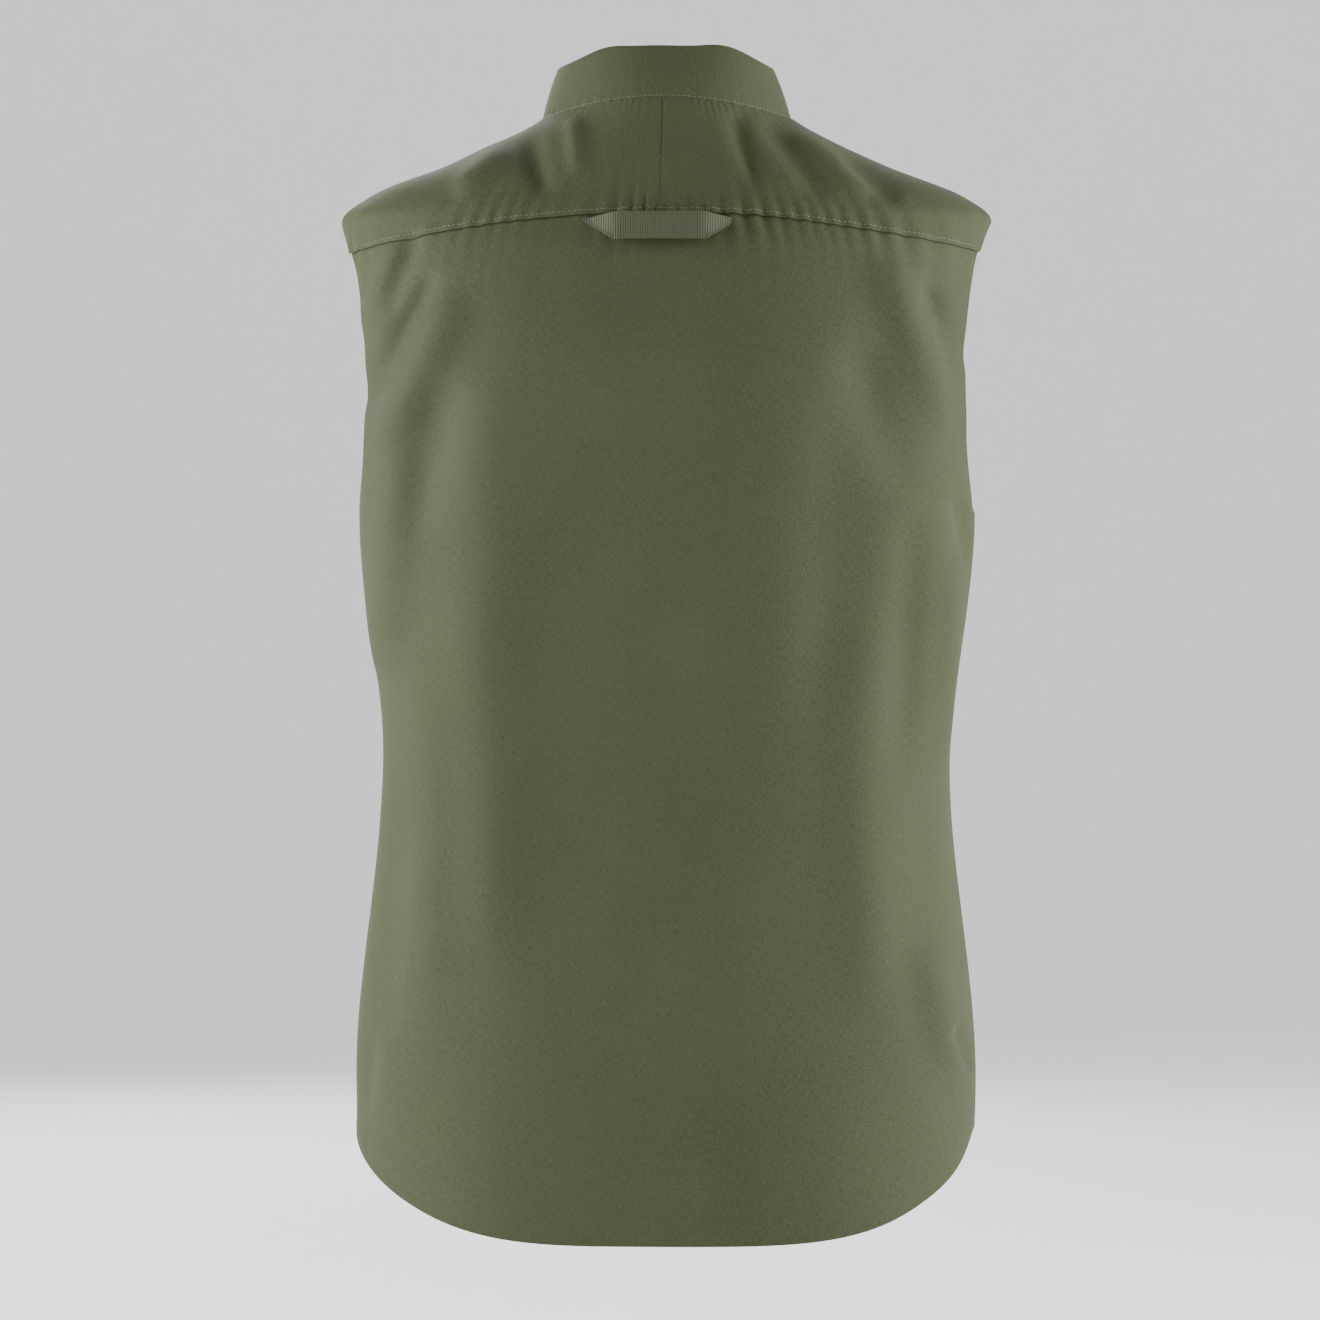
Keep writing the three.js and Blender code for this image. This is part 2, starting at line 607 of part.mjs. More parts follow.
for (const [side, sign] of [["left", 1], ["right", -1]]) {
  const uncut = layer(16, 16, frontPlace(sign), 0, CLOTH);
  add(`front_panel_${side}`, cut(uncut, armholePlug(sign), yokeCorner(sign)), shell());

  const facingPlace = (u, v) => {
    const top = neckline(lerp(turnAtX(ZIP_EDGE + FACING_WIDTH * 1.6, FRONT_NECK), Math.PI, u)) - 2;
    const z = lerp(FRONT_HEM_LIFT + FACING_WIDTH + 3, top, v);
    return [sign * turnAtX(lerp(ZIP_EDGE + FACING_WIDTH * 1.6, ZIP_EDGE, u), z), z];
  };
  const behindTape = TAPE_FRONT - TAPE_THICK - LAYER_GAP;
  add(`front_facing_${side}`, layer(2, 12, facingPlace, behindTape - FACING, behindTape), lining());

  add(
    `hem_facing_front_${side}`,
    hemFacing(12, sign * (SIDE_SEAM + degToRad(2)), sign * turnAtX(TAPE_WIDTH + 2, FRONT_HEM_LIFT), frontHem),
    lining(),
  );
  add(`armhole_facing_${side}`, armholeFacing(sign, 0.02, 0.6, 24), lining());
  add(`armhole_facing_front_${side}`, armholeFacing(sign, 0.7, 0.98, 10), lining());

  const collarEnd = turnAtX(ZIP_EDGE, FRONT_NECK);
  const collarFrom = sign * (COLLAR_SPLIT + degToRad(1.5));
  add(
    `collar_${side}`,
    collarBand(collarFrom, sign * collarEnd, 10, 0, CLOTH, COLLAR_BOTTOM, COLLAR_HEIGHT),
    shell(),
  );
  add(
    `collar_lining_${side}`,
    collarBand(
      collarFrom, sign * turnAtX(TAPE_WIDTH + 2, FRONT_NECK), 10,
      LINING_BACK, -LAYER_GAP, COLLAR_BOTTOM, COLLAR_HEIGHT - 1,
    ),
    lining(),
  );

  // Zip half: tape, chain, and the stop at its top.
  add(
    `zip_tape_${side}`,
    zipStrip(sign, CHAIN_OUTER + CLEARANCE, TAPE_WIDTH, ZIP_BOTTOM, ZIP_TOP + 5, TAPE_FRONT - TAPE_THICK, TAPE_FRONT),
    zipCloth(),
  );
  add(
    `zip_chain_${side}`,
    zipStrip(sign, CHAIN_INNER, CHAIN_OUTER, ZIP_BOTTOM + BOX_LENGTH + CLEARANCE, ZIP_TOP, CHAIN_BACK, CHAIN_FRONT),
    plastic(),
  );
  add(
    `zip_stop_${side}`,
    zipStrip(
      sign, CHAIN_INNER + 0.3, CHAIN_OUTER,
      ZIP_TOP + CLEARANCE, ZIP_TOP + CLEARANCE + STOP_LENGTH, CHAIN_BACK + 0.3, CHAIN_FRONT - 0.3,
    ),
    plastic(),
  );

  for (const pocket of [CHEST_POCKET, LOWER_POCKET]) {
    add(`${pocket.name}_pocket_${side}`, pocketTray(sign, pocket), shell());
    add(`${pocket.name}_flap_${side}`, flapShell(sign, pocket), shell());
    const frame = onSurface(sign * snapTurn(pocket), snapHeight(pocket), wallAt(pocket));
    add(`${pocket.name}_snap_${side}`, snapCap(), metal(), frame);
    add(`${pocket.name}_stud_${side}`, snapStud(), metal(), frame);
  }
}

// ---- Zip ends and slider. The box is on the wearer's left and the pin on the right.
add(
  "zip_box",
  zipStrip(1, -CHAIN_OUTER, CHAIN_OUTER, ZIP_BOTTOM, ZIP_BOTTOM + BOX_LENGTH * 0.55, CHAIN_BACK - 0.6, CHAIN_FRONT + 0.6),
  plastic(),
);
add(
  "zip_pin",
  zipStrip(
    -1, CHAIN_INNER + 0.2, CHAIN_OUTER,
    ZIP_BOTTOM + BOX_LENGTH * 0.55 + CLEARANCE, ZIP_BOTTOM + BOX_LENGTH, CHAIN_BACK + 0.4, CHAIN_FRONT - 0.4,
  ),
  plastic(),
);

// Slider frame: +Z out of the front, +Y up the zip. Its bridge rests just over the top of the chain.
const slider = new THREE.Group();
slider.position.copy(centreFront(0, ZIP_TOP + CLEARANCE + BRIDGE_HALF - SLIDER_LENGTH / 2 + 1, 0));
slider.rotation.x = Math.PI / 2 - ZIP_TILT;
vest.add(slider);

const SLIDER_FRONT = CHAIN_FRONT + CLEARANCE;
const SLIDER_BACK = CHAIN_BACK - CLEARANCE;

function block(x, y, z, width, height, depth) {
  return new THREE.BoxGeometry(width, height, depth).translate(x, y, z);
}

function sliderBody() {
  const outline = new THREE.Shape();
  const [w, h] = [SLIDER_HALF, SLIDER_LENGTH / 2];
  outline.moveTo(-w, h - 2);
  outline.quadraticCurveTo(-w, h, -w + 2, h);
  outline.lineTo(w - 2, h);
  outline.quadraticCurveTo(w, h, w, h - 2);
  outline.lineTo(w - 0.9, -h);
  outline.lineTo(-w + 0.9, -h);
  outline.closePath();
  const plate = (z) =>
    new THREE.ExtrudeGeometry(outline, { depth: SLIDER_PLATE, bevelEnabled: false, curveSegments: 3 }).translate(0, 0, z);
  const gap = SLIDER_FRONT - SLIDER_BACK;
  const bridge = block(0, h - BRIDGE_HALF - 1, (SLIDER_FRONT + SLIDER_BACK) / 2, 1.5, 2 * BRIDGE_HALF, gap + 0.4);
  const face = SLIDER_FRONT + SLIDER_PLATE;
  const post = (y) => block(0, y, face + BAIL_HEIGHT / 2, BAIL_WIDTH, BAIL_WALL, BAIL_HEIGHT + 0.4);
  const arch = block(0, 0, face + BAIL_HEIGHT + 0.4, BAIL_WIDTH, 2 * BAIL_HALF, 1);
  return join(
    plate(SLIDER_FRONT), plate(SLIDER_BACK - SLIDER_PLATE), bridge,
    post(BAIL_HALF - BAIL_WALL / 2), post(BAIL_WALL / 2 - BAIL_HALF), arch,
  );
}

function pullTab() {
  const half = PULL_WIDTH / 2;
  const tab = new THREE.Shape();
  tab.moveTo(-half, PULL_THICK / 2);
  tab.lineTo(half, PULL_THICK / 2);
  tab.lineTo(half, -PULL_LENGTH + 3);
  tab.quadraticCurveTo(half, -PULL_LENGTH, 0, -PULL_LENGTH);
  tab.quadraticCurveTo(-half, -PULL_LENGTH, -half, -PULL_LENGTH + 3);
  tab.closePath();
  const eye = new THREE.Path();
  const eyeHalf = BAIL_WIDTH / 2 + 0.5;
  eye.moveTo(-eyeHalf, -PULL_THICK / 2);
  eye.lineTo(-eyeHalf, -2 * BAIL_HALF - 1);
  eye.lineTo(eyeHalf, -2 * BAIL_HALF - 1);
  eye.lineTo(eyeHalf, -PULL_THICK / 2);
  eye.closePath();
  tab.holes.push(eye);
  return new THREE.ExtrudeGeometry(tab, { depth: PULL_THICK, bevelEnabled: false, curveSegments: 4 }).translate(
    0, 0, -PULL_THICK / 2,
  );
}

add("zip_slider", sliderBody(), metal(), slider);
const pull = add("zip_pull", pullTab(), metal(), slider);
pull.position.z = SLIDER_FRONT + SLIDER_PLATE + BAIL_HEIGHT / 2 + 0.1;

// ---- Hang loop: webbing folded into the back yoke seam at both ends, standing off the back. Its frame
// lies in the seam: +Z out of the back and +Y up along it.
{
  const top = NAPE - YOKE_DROP - LOOP_BELOW_SEAM;
  const frame = onSurface(0, top, () => CLOTH);
  const half = LOOP_TOP / 2;
  const seam = offForm(Math.atan(half / SHOULDER_BACK), top, CLOTH + CLEARANCE)
    .sub(frame.position)
    .applyQuaternion(frame.quaternion.clone().invert());
  const plan = new THREE.Shape();
  plan.moveTo(-half, seam.z);
  plan.lineTo(-half + LOOP_THICK, seam.z);
  plan.lineTo(-half + LOOP_BEND + LOOP_THICK / 2, LOOP_STAND_OFF);
  plan.lineTo(half - LOOP_BEND - LOOP_THICK / 2, LOOP_STAND_OFF);
  plan.lineTo(half - LOOP_THICK, seam.z);
  plan.lineTo(half, seam.z);
  plan.lineTo(half - LOOP_BEND, LOOP_STAND_OFF + LOOP_THICK);
  plan.lineTo(-half + LOOP_BEND, LOOP_STAND_OFF + LOOP_THICK);
  plan.closePath();
  const band = new THREE.ExtrudeGeometry(plan, { depth: LOOP_HEIGHT, bevelEnabled: false }).rotateX(Math.PI / 2);
  const face = new THREE.Shape();
  face.moveTo(-half - 1, 1);
  face.lineTo(-half - 1, 0);
  face.lineTo(-LOOP_BOTTOM / 2, -LOOP_HEIGHT - 0.5);
  face.lineTo(LOOP_BOTTOM / 2, -LOOP_HEIGHT - 0.5);
  face.lineTo(half + 1, 0);
  face.lineTo(half + 1, 1);
  face.closePath();
  const trim = new THREE.ExtrudeGeometry(face, { depth: 40, bevelEnabled: false }).translate(0, 0, -20);
  add("hang_loop", geometryOf(solidFrom(band).intersect(solidFrom(trim))), webbing(), frame);
}

// ---- Neck loop: a narrow band inside the nape, for a peg.
{
  const drop = NAPE - 6;
  const seat = onForm(Math.asin(NECK_LOOP_WIDTH / 2 / NAPE_BACK), drop).y - 2 * (FACING_GAP + FACING);
  const half = NECK_LOOP_WIDTH / 2;
  const outline = new THREE.Shape();
  outline.moveTo(-half, 0);
  outline.quadraticCurveTo(-half * 0.7, -NECK_LOOP_DROP, 0, -NECK_LOOP_DROP);
  outline.quadraticCurveTo(half * 0.7, -NECK_LOOP_DROP, half, 0);
  outline.lineTo(half - NECK_LOOP_BAND, 0);
  outline.quadraticCurveTo(half * 0.6, -NECK_LOOP_DROP + NECK_LOOP_BAND, 0, -NECK_LOOP_DROP + NECK_LOOP_BAND);
  outline.quadraticCurveTo(-half * 0.6, -NECK_LOOP_DROP + NECK_LOOP_BAND, -half + NECK_LOOP_BAND, 0);
  outline.closePath();
  const band = new THREE.ExtrudeGeometry(outline, { depth: 1.2, bevelEnabled: false, curveSegments: 8 });
  const loop = add("neck_loop", band, webbing());
  loop.rotation.x = Math.PI / 2;
  loop.position.set(0, seat, drop);
}

// ---- Tool ring on a webbing tab, over the left chest flap.
{
  const height = mouthOf(CHEST_POCKET) + FLAP_RISE + TAB_ABOVE_FLAP;
  const frame = onSurface(turnAtX(TAB_X, height), height, () => CLOTH + LAYER_GAP);
  const tunnelY = -TAB_HEIGHT / 2 + RING_TUNNEL_R + 1;
  const tab = block(0, 0, TAB_THICK / 2, TAB_WIDTH, TAB_HEIGHT, TAB_THICK);
  const tunnel = new THREE.CylinderGeometry(RING_TUNNEL_R, RING_TUNNEL_R, TAB_WIDTH + 2, 16)
    .rotateZ(Math.PI / 2)
    .translate(0, tunnelY, TAB_THICK / 2);
  add("tool_tab", cut(tab, tunnel), webbing(), frame);

  const half = RING_WIDTH / 2;
  const wire = RING_WIRE / 2;
  const ring = new THREE.Shape();
  ring.moveTo(-half, wire);
  ring.lineTo(half, wire);
  ring.lineTo(half, -4);
  ring.bezierCurveTo(half, -RING_HEIGHT, -half, -RING_HEIGHT, -half, -4);
  ring.closePath();
  const hole = new THREE.Path();
  const inner = half - RING_WIRE;
  hole.moveTo(-inner, -wire);
  hole.lineTo(-inner, -4);
  hole.bezierCurveTo(-inner, -RING_HEIGHT + RING_WIRE * 1.5, inner, -RING_HEIGHT + RING_WIRE * 1.5, inner, -4);
  hole.lineTo(inner, -wire);
  hole.closePath();
  ring.holes.push(hole);
  const body = new THREE.ExtrudeGeometry(ring, { depth: RING_WIRE, bevelEnabled: false, curveSegments: 10 });
  const mesh = add("tool_ring", body.translate(0, 0, -wire), metal(), frame);
  mesh.position.set(0, tunnelY, TAB_THICK / 2);
}

const part = new THREE.Group();
part.add(vest);
export default part;
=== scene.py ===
import math

import bmesh
import bpy
import numpy as np
from mathutils import Matrix, Vector, noise


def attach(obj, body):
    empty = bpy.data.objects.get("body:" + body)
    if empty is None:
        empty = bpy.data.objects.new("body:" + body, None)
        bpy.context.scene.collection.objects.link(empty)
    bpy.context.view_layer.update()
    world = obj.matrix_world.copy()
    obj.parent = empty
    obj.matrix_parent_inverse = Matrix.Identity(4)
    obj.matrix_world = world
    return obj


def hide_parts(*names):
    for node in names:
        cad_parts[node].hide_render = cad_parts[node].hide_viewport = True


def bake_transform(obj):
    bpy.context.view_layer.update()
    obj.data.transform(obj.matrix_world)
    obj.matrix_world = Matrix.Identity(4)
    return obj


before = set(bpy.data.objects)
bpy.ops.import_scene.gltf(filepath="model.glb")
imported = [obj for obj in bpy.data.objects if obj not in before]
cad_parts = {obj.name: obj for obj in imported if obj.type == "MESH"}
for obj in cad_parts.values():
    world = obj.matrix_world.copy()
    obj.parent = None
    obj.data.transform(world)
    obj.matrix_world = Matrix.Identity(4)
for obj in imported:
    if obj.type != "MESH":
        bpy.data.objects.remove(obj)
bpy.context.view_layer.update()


# ---- Back panel: one piece of dry waxed poly-cotton from side seam to side seam, cut with a shirt-tail
# hem and two armholes. Its top edge is sewn under the yoke. Metres, heights measured up from the lowest
# point of the hem; the wearer's left is +X and the chest is -Y.
SHOULDER_LEVEL = 0.605  # the frame's origin over the hem
ARMPIT, TIP, NECK, NAPE = 0.413, 0.580, 0.637, 0.650
ARMHOLE_CENTRE, ARMHOLE_HALF = (ARMPIT + TIP) / 2, (TIP - ARMPIT) / 2
FRONT_NECK, FRONT_NECK_DEPTH, FRONT_SLOPE = 0.592, 0.084, 0.0488
ARMHOLE_BACK, ARMHOLE_FRONT, ARMHOLE_SHARPNESS = math.radians(12.5), math.radians(27), 2.4
SIDE = math.pi / 2
HEM_RISE, FRONT_HEM_LIFT, HEM_SHARPNESS = 0.060, 0.018, 4.3
YOKE_DROP, YOKE_FALL, YOKE_SHARPNESS = 0.071, 0.018, 3.5
CLOTH = 0.0012
NAPE_SEAM_RISE = 0.0085
SIDE_GAP = math.radians(0.2)  # from the side seam's middle to each panel's edge
SEAM_END = 1.42  # the turn at which the yoke seam runs into the armhole
PATTERN_RADIUS = 0.145  # makes a turn into a width on the flat cloth
LEAN = 0.0028  # the back hangs this far to the left below the waist

# The worn shape: height, half width, back depth, squareness of the back and of the front.
FORM = np.array([
    [0.000, 0.1740, 0.1050, 2.3, 2.3],
    [0.085, 0.1772, 0.1040, 2.3, 2.3],
    [0.270, 0.1620, 0.0970, 2.3, 2.4],
    [0.413, 0.1760, 0.1090, 2.4, 2.8],
    [0.4965, 0.1760, 0.1120, 2.4, 2.7],
    [0.560, 0.1815, 0.1055, 2.3, 2.4],
    [0.580, 0.1845, 0.0990, 2.2, 2.3],
    [0.592, 0.1700, 0.0930, 2.2, 2.2],
    [0.6108, 0.1240, 0.0840, 2.1, 2.2],
    [0.637, 0.0710, 0.0680, 2.0, 2.0],
    [0.650, 0.0580, 0.0600, 2.0, 2.0],
])


def along_form(column, z):
    """A column of FORM at heights z, as a cubic through the stations that doesn't overshoot."""
    zs, vs = FORM[:, 0], FORM[:, column]
    rise = np.diff(vs) / np.diff(zs)
    inner = rise[:-1] * rise[1:]
    safe = np.where(inner > 0, rise[:-1] + rise[1:], 1)
    slope = np.concatenate([rise[:1], np.where(inner > 0, 2 * inner / safe, 0), rise[-1:]])
    i = np.clip(np.searchsorted(zs, z, side="right") - 1, 0, len(zs) - 2)
    span = zs[i + 1] - zs[i]
    t = np.clip((z - zs[i]) / span, 0, 1)
    value = vs[i] * (1 + 2 * t) * (1 - t) ** 2 + vs[i + 1] * t * t * (3 - 2 * t)
    value += span * (slope[i] * t * (1 - t) ** 2 - slope[i + 1] * t * t * (1 - t))
    value += np.where(z < zs[0], slope[0] * (z - zs[0]), 0)
    return value + np.where(z > zs[-1], slope[-1] * (z - zs[-1]), 0)


def on_form(turn, z):
    """Points of the worn shape. turn is 0 at the centre back and pi at the centre front."""
    s, c = np.sin(turn), np.cos(turn)
    above = np.maximum(0, z - FRONT_NECK)
    front = FRONT_NECK_DEPTH + (FRONT_NECK - z) * FRONT_SLOPE - 10.8 * above**2
    square = np.where(c < 0, along_form(4, z), along_form(3, z))
    depth = np.where(c < 0, front, along_form(2, z))
    r = (np.abs(s / along_form(1, z)) ** square + np.abs(c / depth) ** square) ** (-1 / square)
    return np.stack([r * s, r * c, z], axis=-1)


def out_of_form(turn, z, step=1e-3):
    """The direction straight out of the worn shape."""
    across = on_form(turn + step, z) - on_form(turn - step, z)
    up = on_form(turn, z + step) - on_form(turn, z - step)
    n = np.cross(up, across)
    n /= np.linalg.norm(n, axis=-1, keepdims=True)
    away = n[..., 0] * np.sin(turn) + n[..., 1] * np.cos(turn)
    return n * np.where(away < 0, -1, 1)[..., None]


def smooth(t):
    """A soft step from 0 to 1."""
    t = np.clip(t, 0, 1)
    return t * t * (3 - 2 * t)


# Folds where the cloth is drawn or pushed: from x, z to x, z, half width and height, in metres.
FOLD_GAIN = 1.5  # the height that shows for each unit of listed height
POCKET_ROWS = ((0.070, 0.222), (0.365, 0.522))  # the heights that pockets cover
BACK_FOLDS = [
    (0.140, 0.566, 0.156, 0.530, 0.005, -0.0030),
    (0.132, 0.540, 0.170, 0.478, 0.006, -0.0048),
    (0.118, 0.524, 0.158, 0.452, 0.010, 0.0034),
    (0.150, 0.560, 0.170, 0.520, 0.006, 0.0026),
    (0.122, 0.476, 0.143, 0.405, 0.013, -0.0036),
    (0.150, 0.440, 0.161, 0.330, 0.010, 0.0032),
    (0.100, 0.470, 0.094, 0.330, 0.022, 0.0026),
    (0.105, 0.360, 0.092, 0.180, 0.020, 0.0030),
    (0.135, 0.330, 0.128, 0.160, 0.014, 0.0022),
    (0.150, 0.230, 0.158, 0.120, 0.010, -0.0022),
    (-0.150, 0.537, -0.168, 0.500, 0.006, -0.0040),
    (-0.130, 0.545, -0.160, 0.466, 0.010, 0.0040),
    (-0.112, 0.500, -0.138, 0.430, 0.012, -0.0024),
    (-0.154, 0.405, -0.146, 0.268, 0.009, 0.0019),
    (-0.142, 0.400, -0.135, 0.280, 0.009, -0.0014),
    (-0.163, 0.380, -0.157, 0.270, 0.005, 0.0024),
    (-0.168, 0.420, -0.176, 0.388, 0.005, -0.0042),
    (-0.100, 0.470, -0.092, 0.320, 0.018, -0.0022),
    (-0.115, 0.330, -0.120, 0.150, 0.018, 0.0030),
    (-0.152, 0.160, -0.167, 0.098, 0.008, 0.0034),
    (-0.166, 0.118, -0.177, 0.098, 0.004, -0.0040),
    (0.166, 0.112, 0.172, 0.068, 0.006, -0.0030),
    (0.074, 0.622, 0.066, 0.592, 0.006, -0.0019),
    (0.092, 0.612, 0.112, 0.592, 0.007, 0.0024),
    (0.050, 0.632, 0.046, 0.604, 0.005, 0.0019),
    (-0.040, 0.634, -0.052, 0.598, 0.005, -0.0019),
    (-0.060, 0.630, -0.088, 0.592, 0.006, -0.0019),
    (-0.078, 0.622, -0.112, 0.594, 0.006, 0.0027),
    (-0.104, 0.606, -0.130, 0.590, 0.006, -0.0022),
    (0.010, 0.440, 0.020, 0.180, 0.040, -0.0016),
    (-0.050, 0.400, -0.040, 0.120, 0.030, 0.0014),
]
FRONT_FOLDS = [
    (0.125, 0.545, 0.150, 0.460, 0.008, 0.0030),
    (-0.120, 0.550, -0.148, 0.470, 0.008, 0.0030),
    (0.140, 0.400, 0.135, 0.250, 0.012, -0.0030),
    (-0.138, 0.390, -0.132, 0.260, 0.012, -0.0030),
    (0.020, 0.350, 0.024, 0.230, 0.010, 0.0022),
    (-0.022, 0.360, -0.020, 0.220, 0.010, 0.0022),
    (0.045, 0.345, 0.060, 0.290, 0.010, -0.0022),
    (-0.045, 0.350, -0.065, 0.280, 0.010, -0.0022),
]


def calm(p):
    """0 beside the zip and under the pockets, where stitching and layers hold the cloth flat, else 1."""
    x = np.abs(p[:, 0])
    held = 1 - smooth((x - 0.012) / 0.02)
    for low, high in POCKET_ROWS:
        across = smooth((x - 0.015) / 0.012) * smooth((0.146 - x) / 0.014)
        along = smooth((p[:, 2] - low + 0.012) / 0.012) * smooth((high - p[:, 2]) / 0.012)
        held = np.maximum(held, across * along)
    return 1 - held * (p[:, 1] < 0)


def fold_height(p):
    """How far the folds push each point of the form out."""
    total = np.zeros(len(p))
    for folds, behind in ((BACK_FOLDS, 1), (FRONT_FOLDS, -1)):
        side = smooth(behind * p[:, 1] / 0.03)
        for x0, z0, x1, z1, width, height in folds:
            run = np.array([x1 - x0, z1 - z0])
            q = p[:, [0, 2]] - [x0, z0]
            t = (q @ run) / (run @ run)
            gap = np.linalg.norm(q - np.clip(t, 0, 1)[:, None] * run, axis=1)
            ends = smooth((t + 0.35) / 0.6) * smooth((1.35 - t) / 0.6)
            total += side * FOLD_GAIN * height * ends * np.exp(-((gap / width) ** 2) / 1.4)
    rough = [
        0.0016 * noise.noise(Vector((x * 9, y * 9, z * 3)))
        + 0.0007 * noise.noise(Vector((x * 30 + 5, y * 30, z * 11)))
        for x, y, z in p
    ]
    at_armhole = smooth((np.abs(p[:, 0]) - 0.150) / 0.022) * smooth((p[:, 2] - ARMPIT) / 0.01)
    return (total * (1 - 0.65 * at_armhole) + np.array(rough)) * calm(p)


def yoke_seam(turn):
    """The height of the seam under the yoke, which falls towards the armholes."""
    return NAPE - YOKE_DROP - YOKE_FALL * np.abs(np.sin(turn)) ** YOKE_SHARPNESS


def neckline(turn):
    """The height of the seam under the collar."""
    c = np.cos(turn)
    return np.where(c > 0, NECK + NAPE_SEAM_RISE * c**2, NECK - (NECK - FRONT_NECK) * c**4)


def puckers(turn, z):
    """The fine ripples that the sewing thread draws along the seams."""
    s = turn * 0.13
    wander = 1.7 * np.sin(s * 61) + 1.1 * np.sin(s * 23 + 2)
    below = np.exp(-np.abs(z - yoke_seam(turn)) / 0.011) * (np.abs(turn) < SEAM_END)
    at_neck = np.exp(-np.abs(z - neckline(turn)) / 0.007)
    centre = np.exp(-np.abs(s) / 0.006) * (z > yoke_seam(turn) - 0.004)
    uneven = 0.55 + 0.45 * np.sin(s * 47 + 1.3) * np.sin(s * 29)
    at_yoke = 0.0011 * below * np.sin(s * 610 + 2 * wander)
    ripple = uneven * (at_yoke + 0.0003 * at_neck * np.sin(s * 690 - 2 * wander))
    return ripple + 0.0003 * centre * np.sin(z * 900 + 3 * np.sin(z * 130))


def cloth_at(turn, z, lift=0.0):
    """A point of a cloth layer that lies lift outside the panels' inner face."""
    turn, z = np.broadcast_arrays(np.asarray(turn, float), np.asarray(z, float))
    base = on_form(turn, z)
    rise = lift + fold_height(base) + puckers(turn, z)
    base[..., 0] += LEAN * smooth((0.34 - z) / 0.14) * smooth((base[..., 1] + 0.03) / 0.06)
    return base + out_of_form(turn, z) * np.asarray(rise)[..., None] - [0, 0, SHOULDER_LEVEL]


def armhole_share(z):
    """The armhole's width at a height, as a share of its widest."""
    t = np.minimum(1, np.abs(z - ARMHOLE_CENTRE) / ARMHOLE_HALF)
    return (1 - t**ARMHOLE_SHARPNESS) ** (1 / ARMHOLE_SHARPNESS)


def armhole_top(turn):
    """The height of the armhole's upper edge."""
    away = np.abs(turn) - SIDE
    share = np.minimum(1, np.abs(away) / np.where(away < 0, ARMHOLE_BACK, ARMHOLE_FRONT))
    return ARMHOLE_CENTRE + ARMHOLE_HALF * (1 - share**ARMHOLE_SHARPNESS) ** (1 / ARMHOLE_SHARPNESS)


def breadth(turn):
    """How near the side of the hem a turn comes, from 0 in the middle to 1."""
    return np.abs(on_form(turn, np.full_like(turn, 0.085))[..., 0]) / FORM[1, 1]


def back_hem(turn):
    wide = breadth(turn + 0.06 * np.cos(turn))
    return HEM_RISE * (0.79 * wide**4.15 + 0.21 * wide**40)


def even_rows(v, low, high, middle, share):
    """Heights for rows v from 0 to 1 that reach middle at share."""
    lower = low + (middle - low) * v / share
    upper = middle + (high - middle) * (np.maximum(v - share, 0) / (1 - share)) ** 1.6
    return np.where(v < share, lower, upper)


class Socket:
    """A shader socket that adds its Math nodes as it is used in sums."""

    def __init__(self, tree, socket):
        self.tree, self.socket = tree, socket

    def node(self, kind, settings=(), **inputs):
        made = self.tree.nodes.new(kind)
        for key, value in dict(settings).items():
            if key == "stops":
                ramp = made.color_ramp
                while len(ramp.elements) < len(value):
                    ramp.elements.new(0.5)
                for element, (place, colour) in zip(ramp.elements, value):
                    element.position, element.color = place, colour
            else:
                setattr(made, key, value)
        for key, value in inputs.items():
            numbered = key[0] == "i" and key[1:].isdigit()
            target = made.inputs[int(key[1:]) if numbered else key.replace("_", " ")]
            if isinstance(value, Socket):
                self.tree.links.new(value.socket, target)
            else:
                target.default_value = value
        return made

    def out(self, kind, settings=(), output=0, **inputs):
        return Socket(self.tree, self.node(kind, settings, **inputs).outputs[output])

    def maths(self, operation, a, b=0.0):
        return self.out("ShaderNodeMath", {"operation": operation}, i0=a, i1=b)

    def __add__(self, other):
        return self.maths("ADD", self, other)

    def __sub__(self, other):
        return self.maths("SUBTRACT", self, other)

    def __rsub__(self, other):
        return self.maths("SUBTRACT", other, self)

    def __mul__(self, other):
        return self.maths("MULTIPLY", self, other)

    __radd__, __rmul__ = __add__, __mul__


def new_material(name):
    """A new material with its tree, its Principled shader and a Socket to add nodes from."""
    material = bpy.data.materials.new(name)
    material.use_nodes = True
    tree = material.node_tree
    shader = tree.nodes["Principled BSDF"]
    return material, tree, shader, Socket(tree, None)


def connect(tree, value, target):
    tree.links.new(value.socket, target)


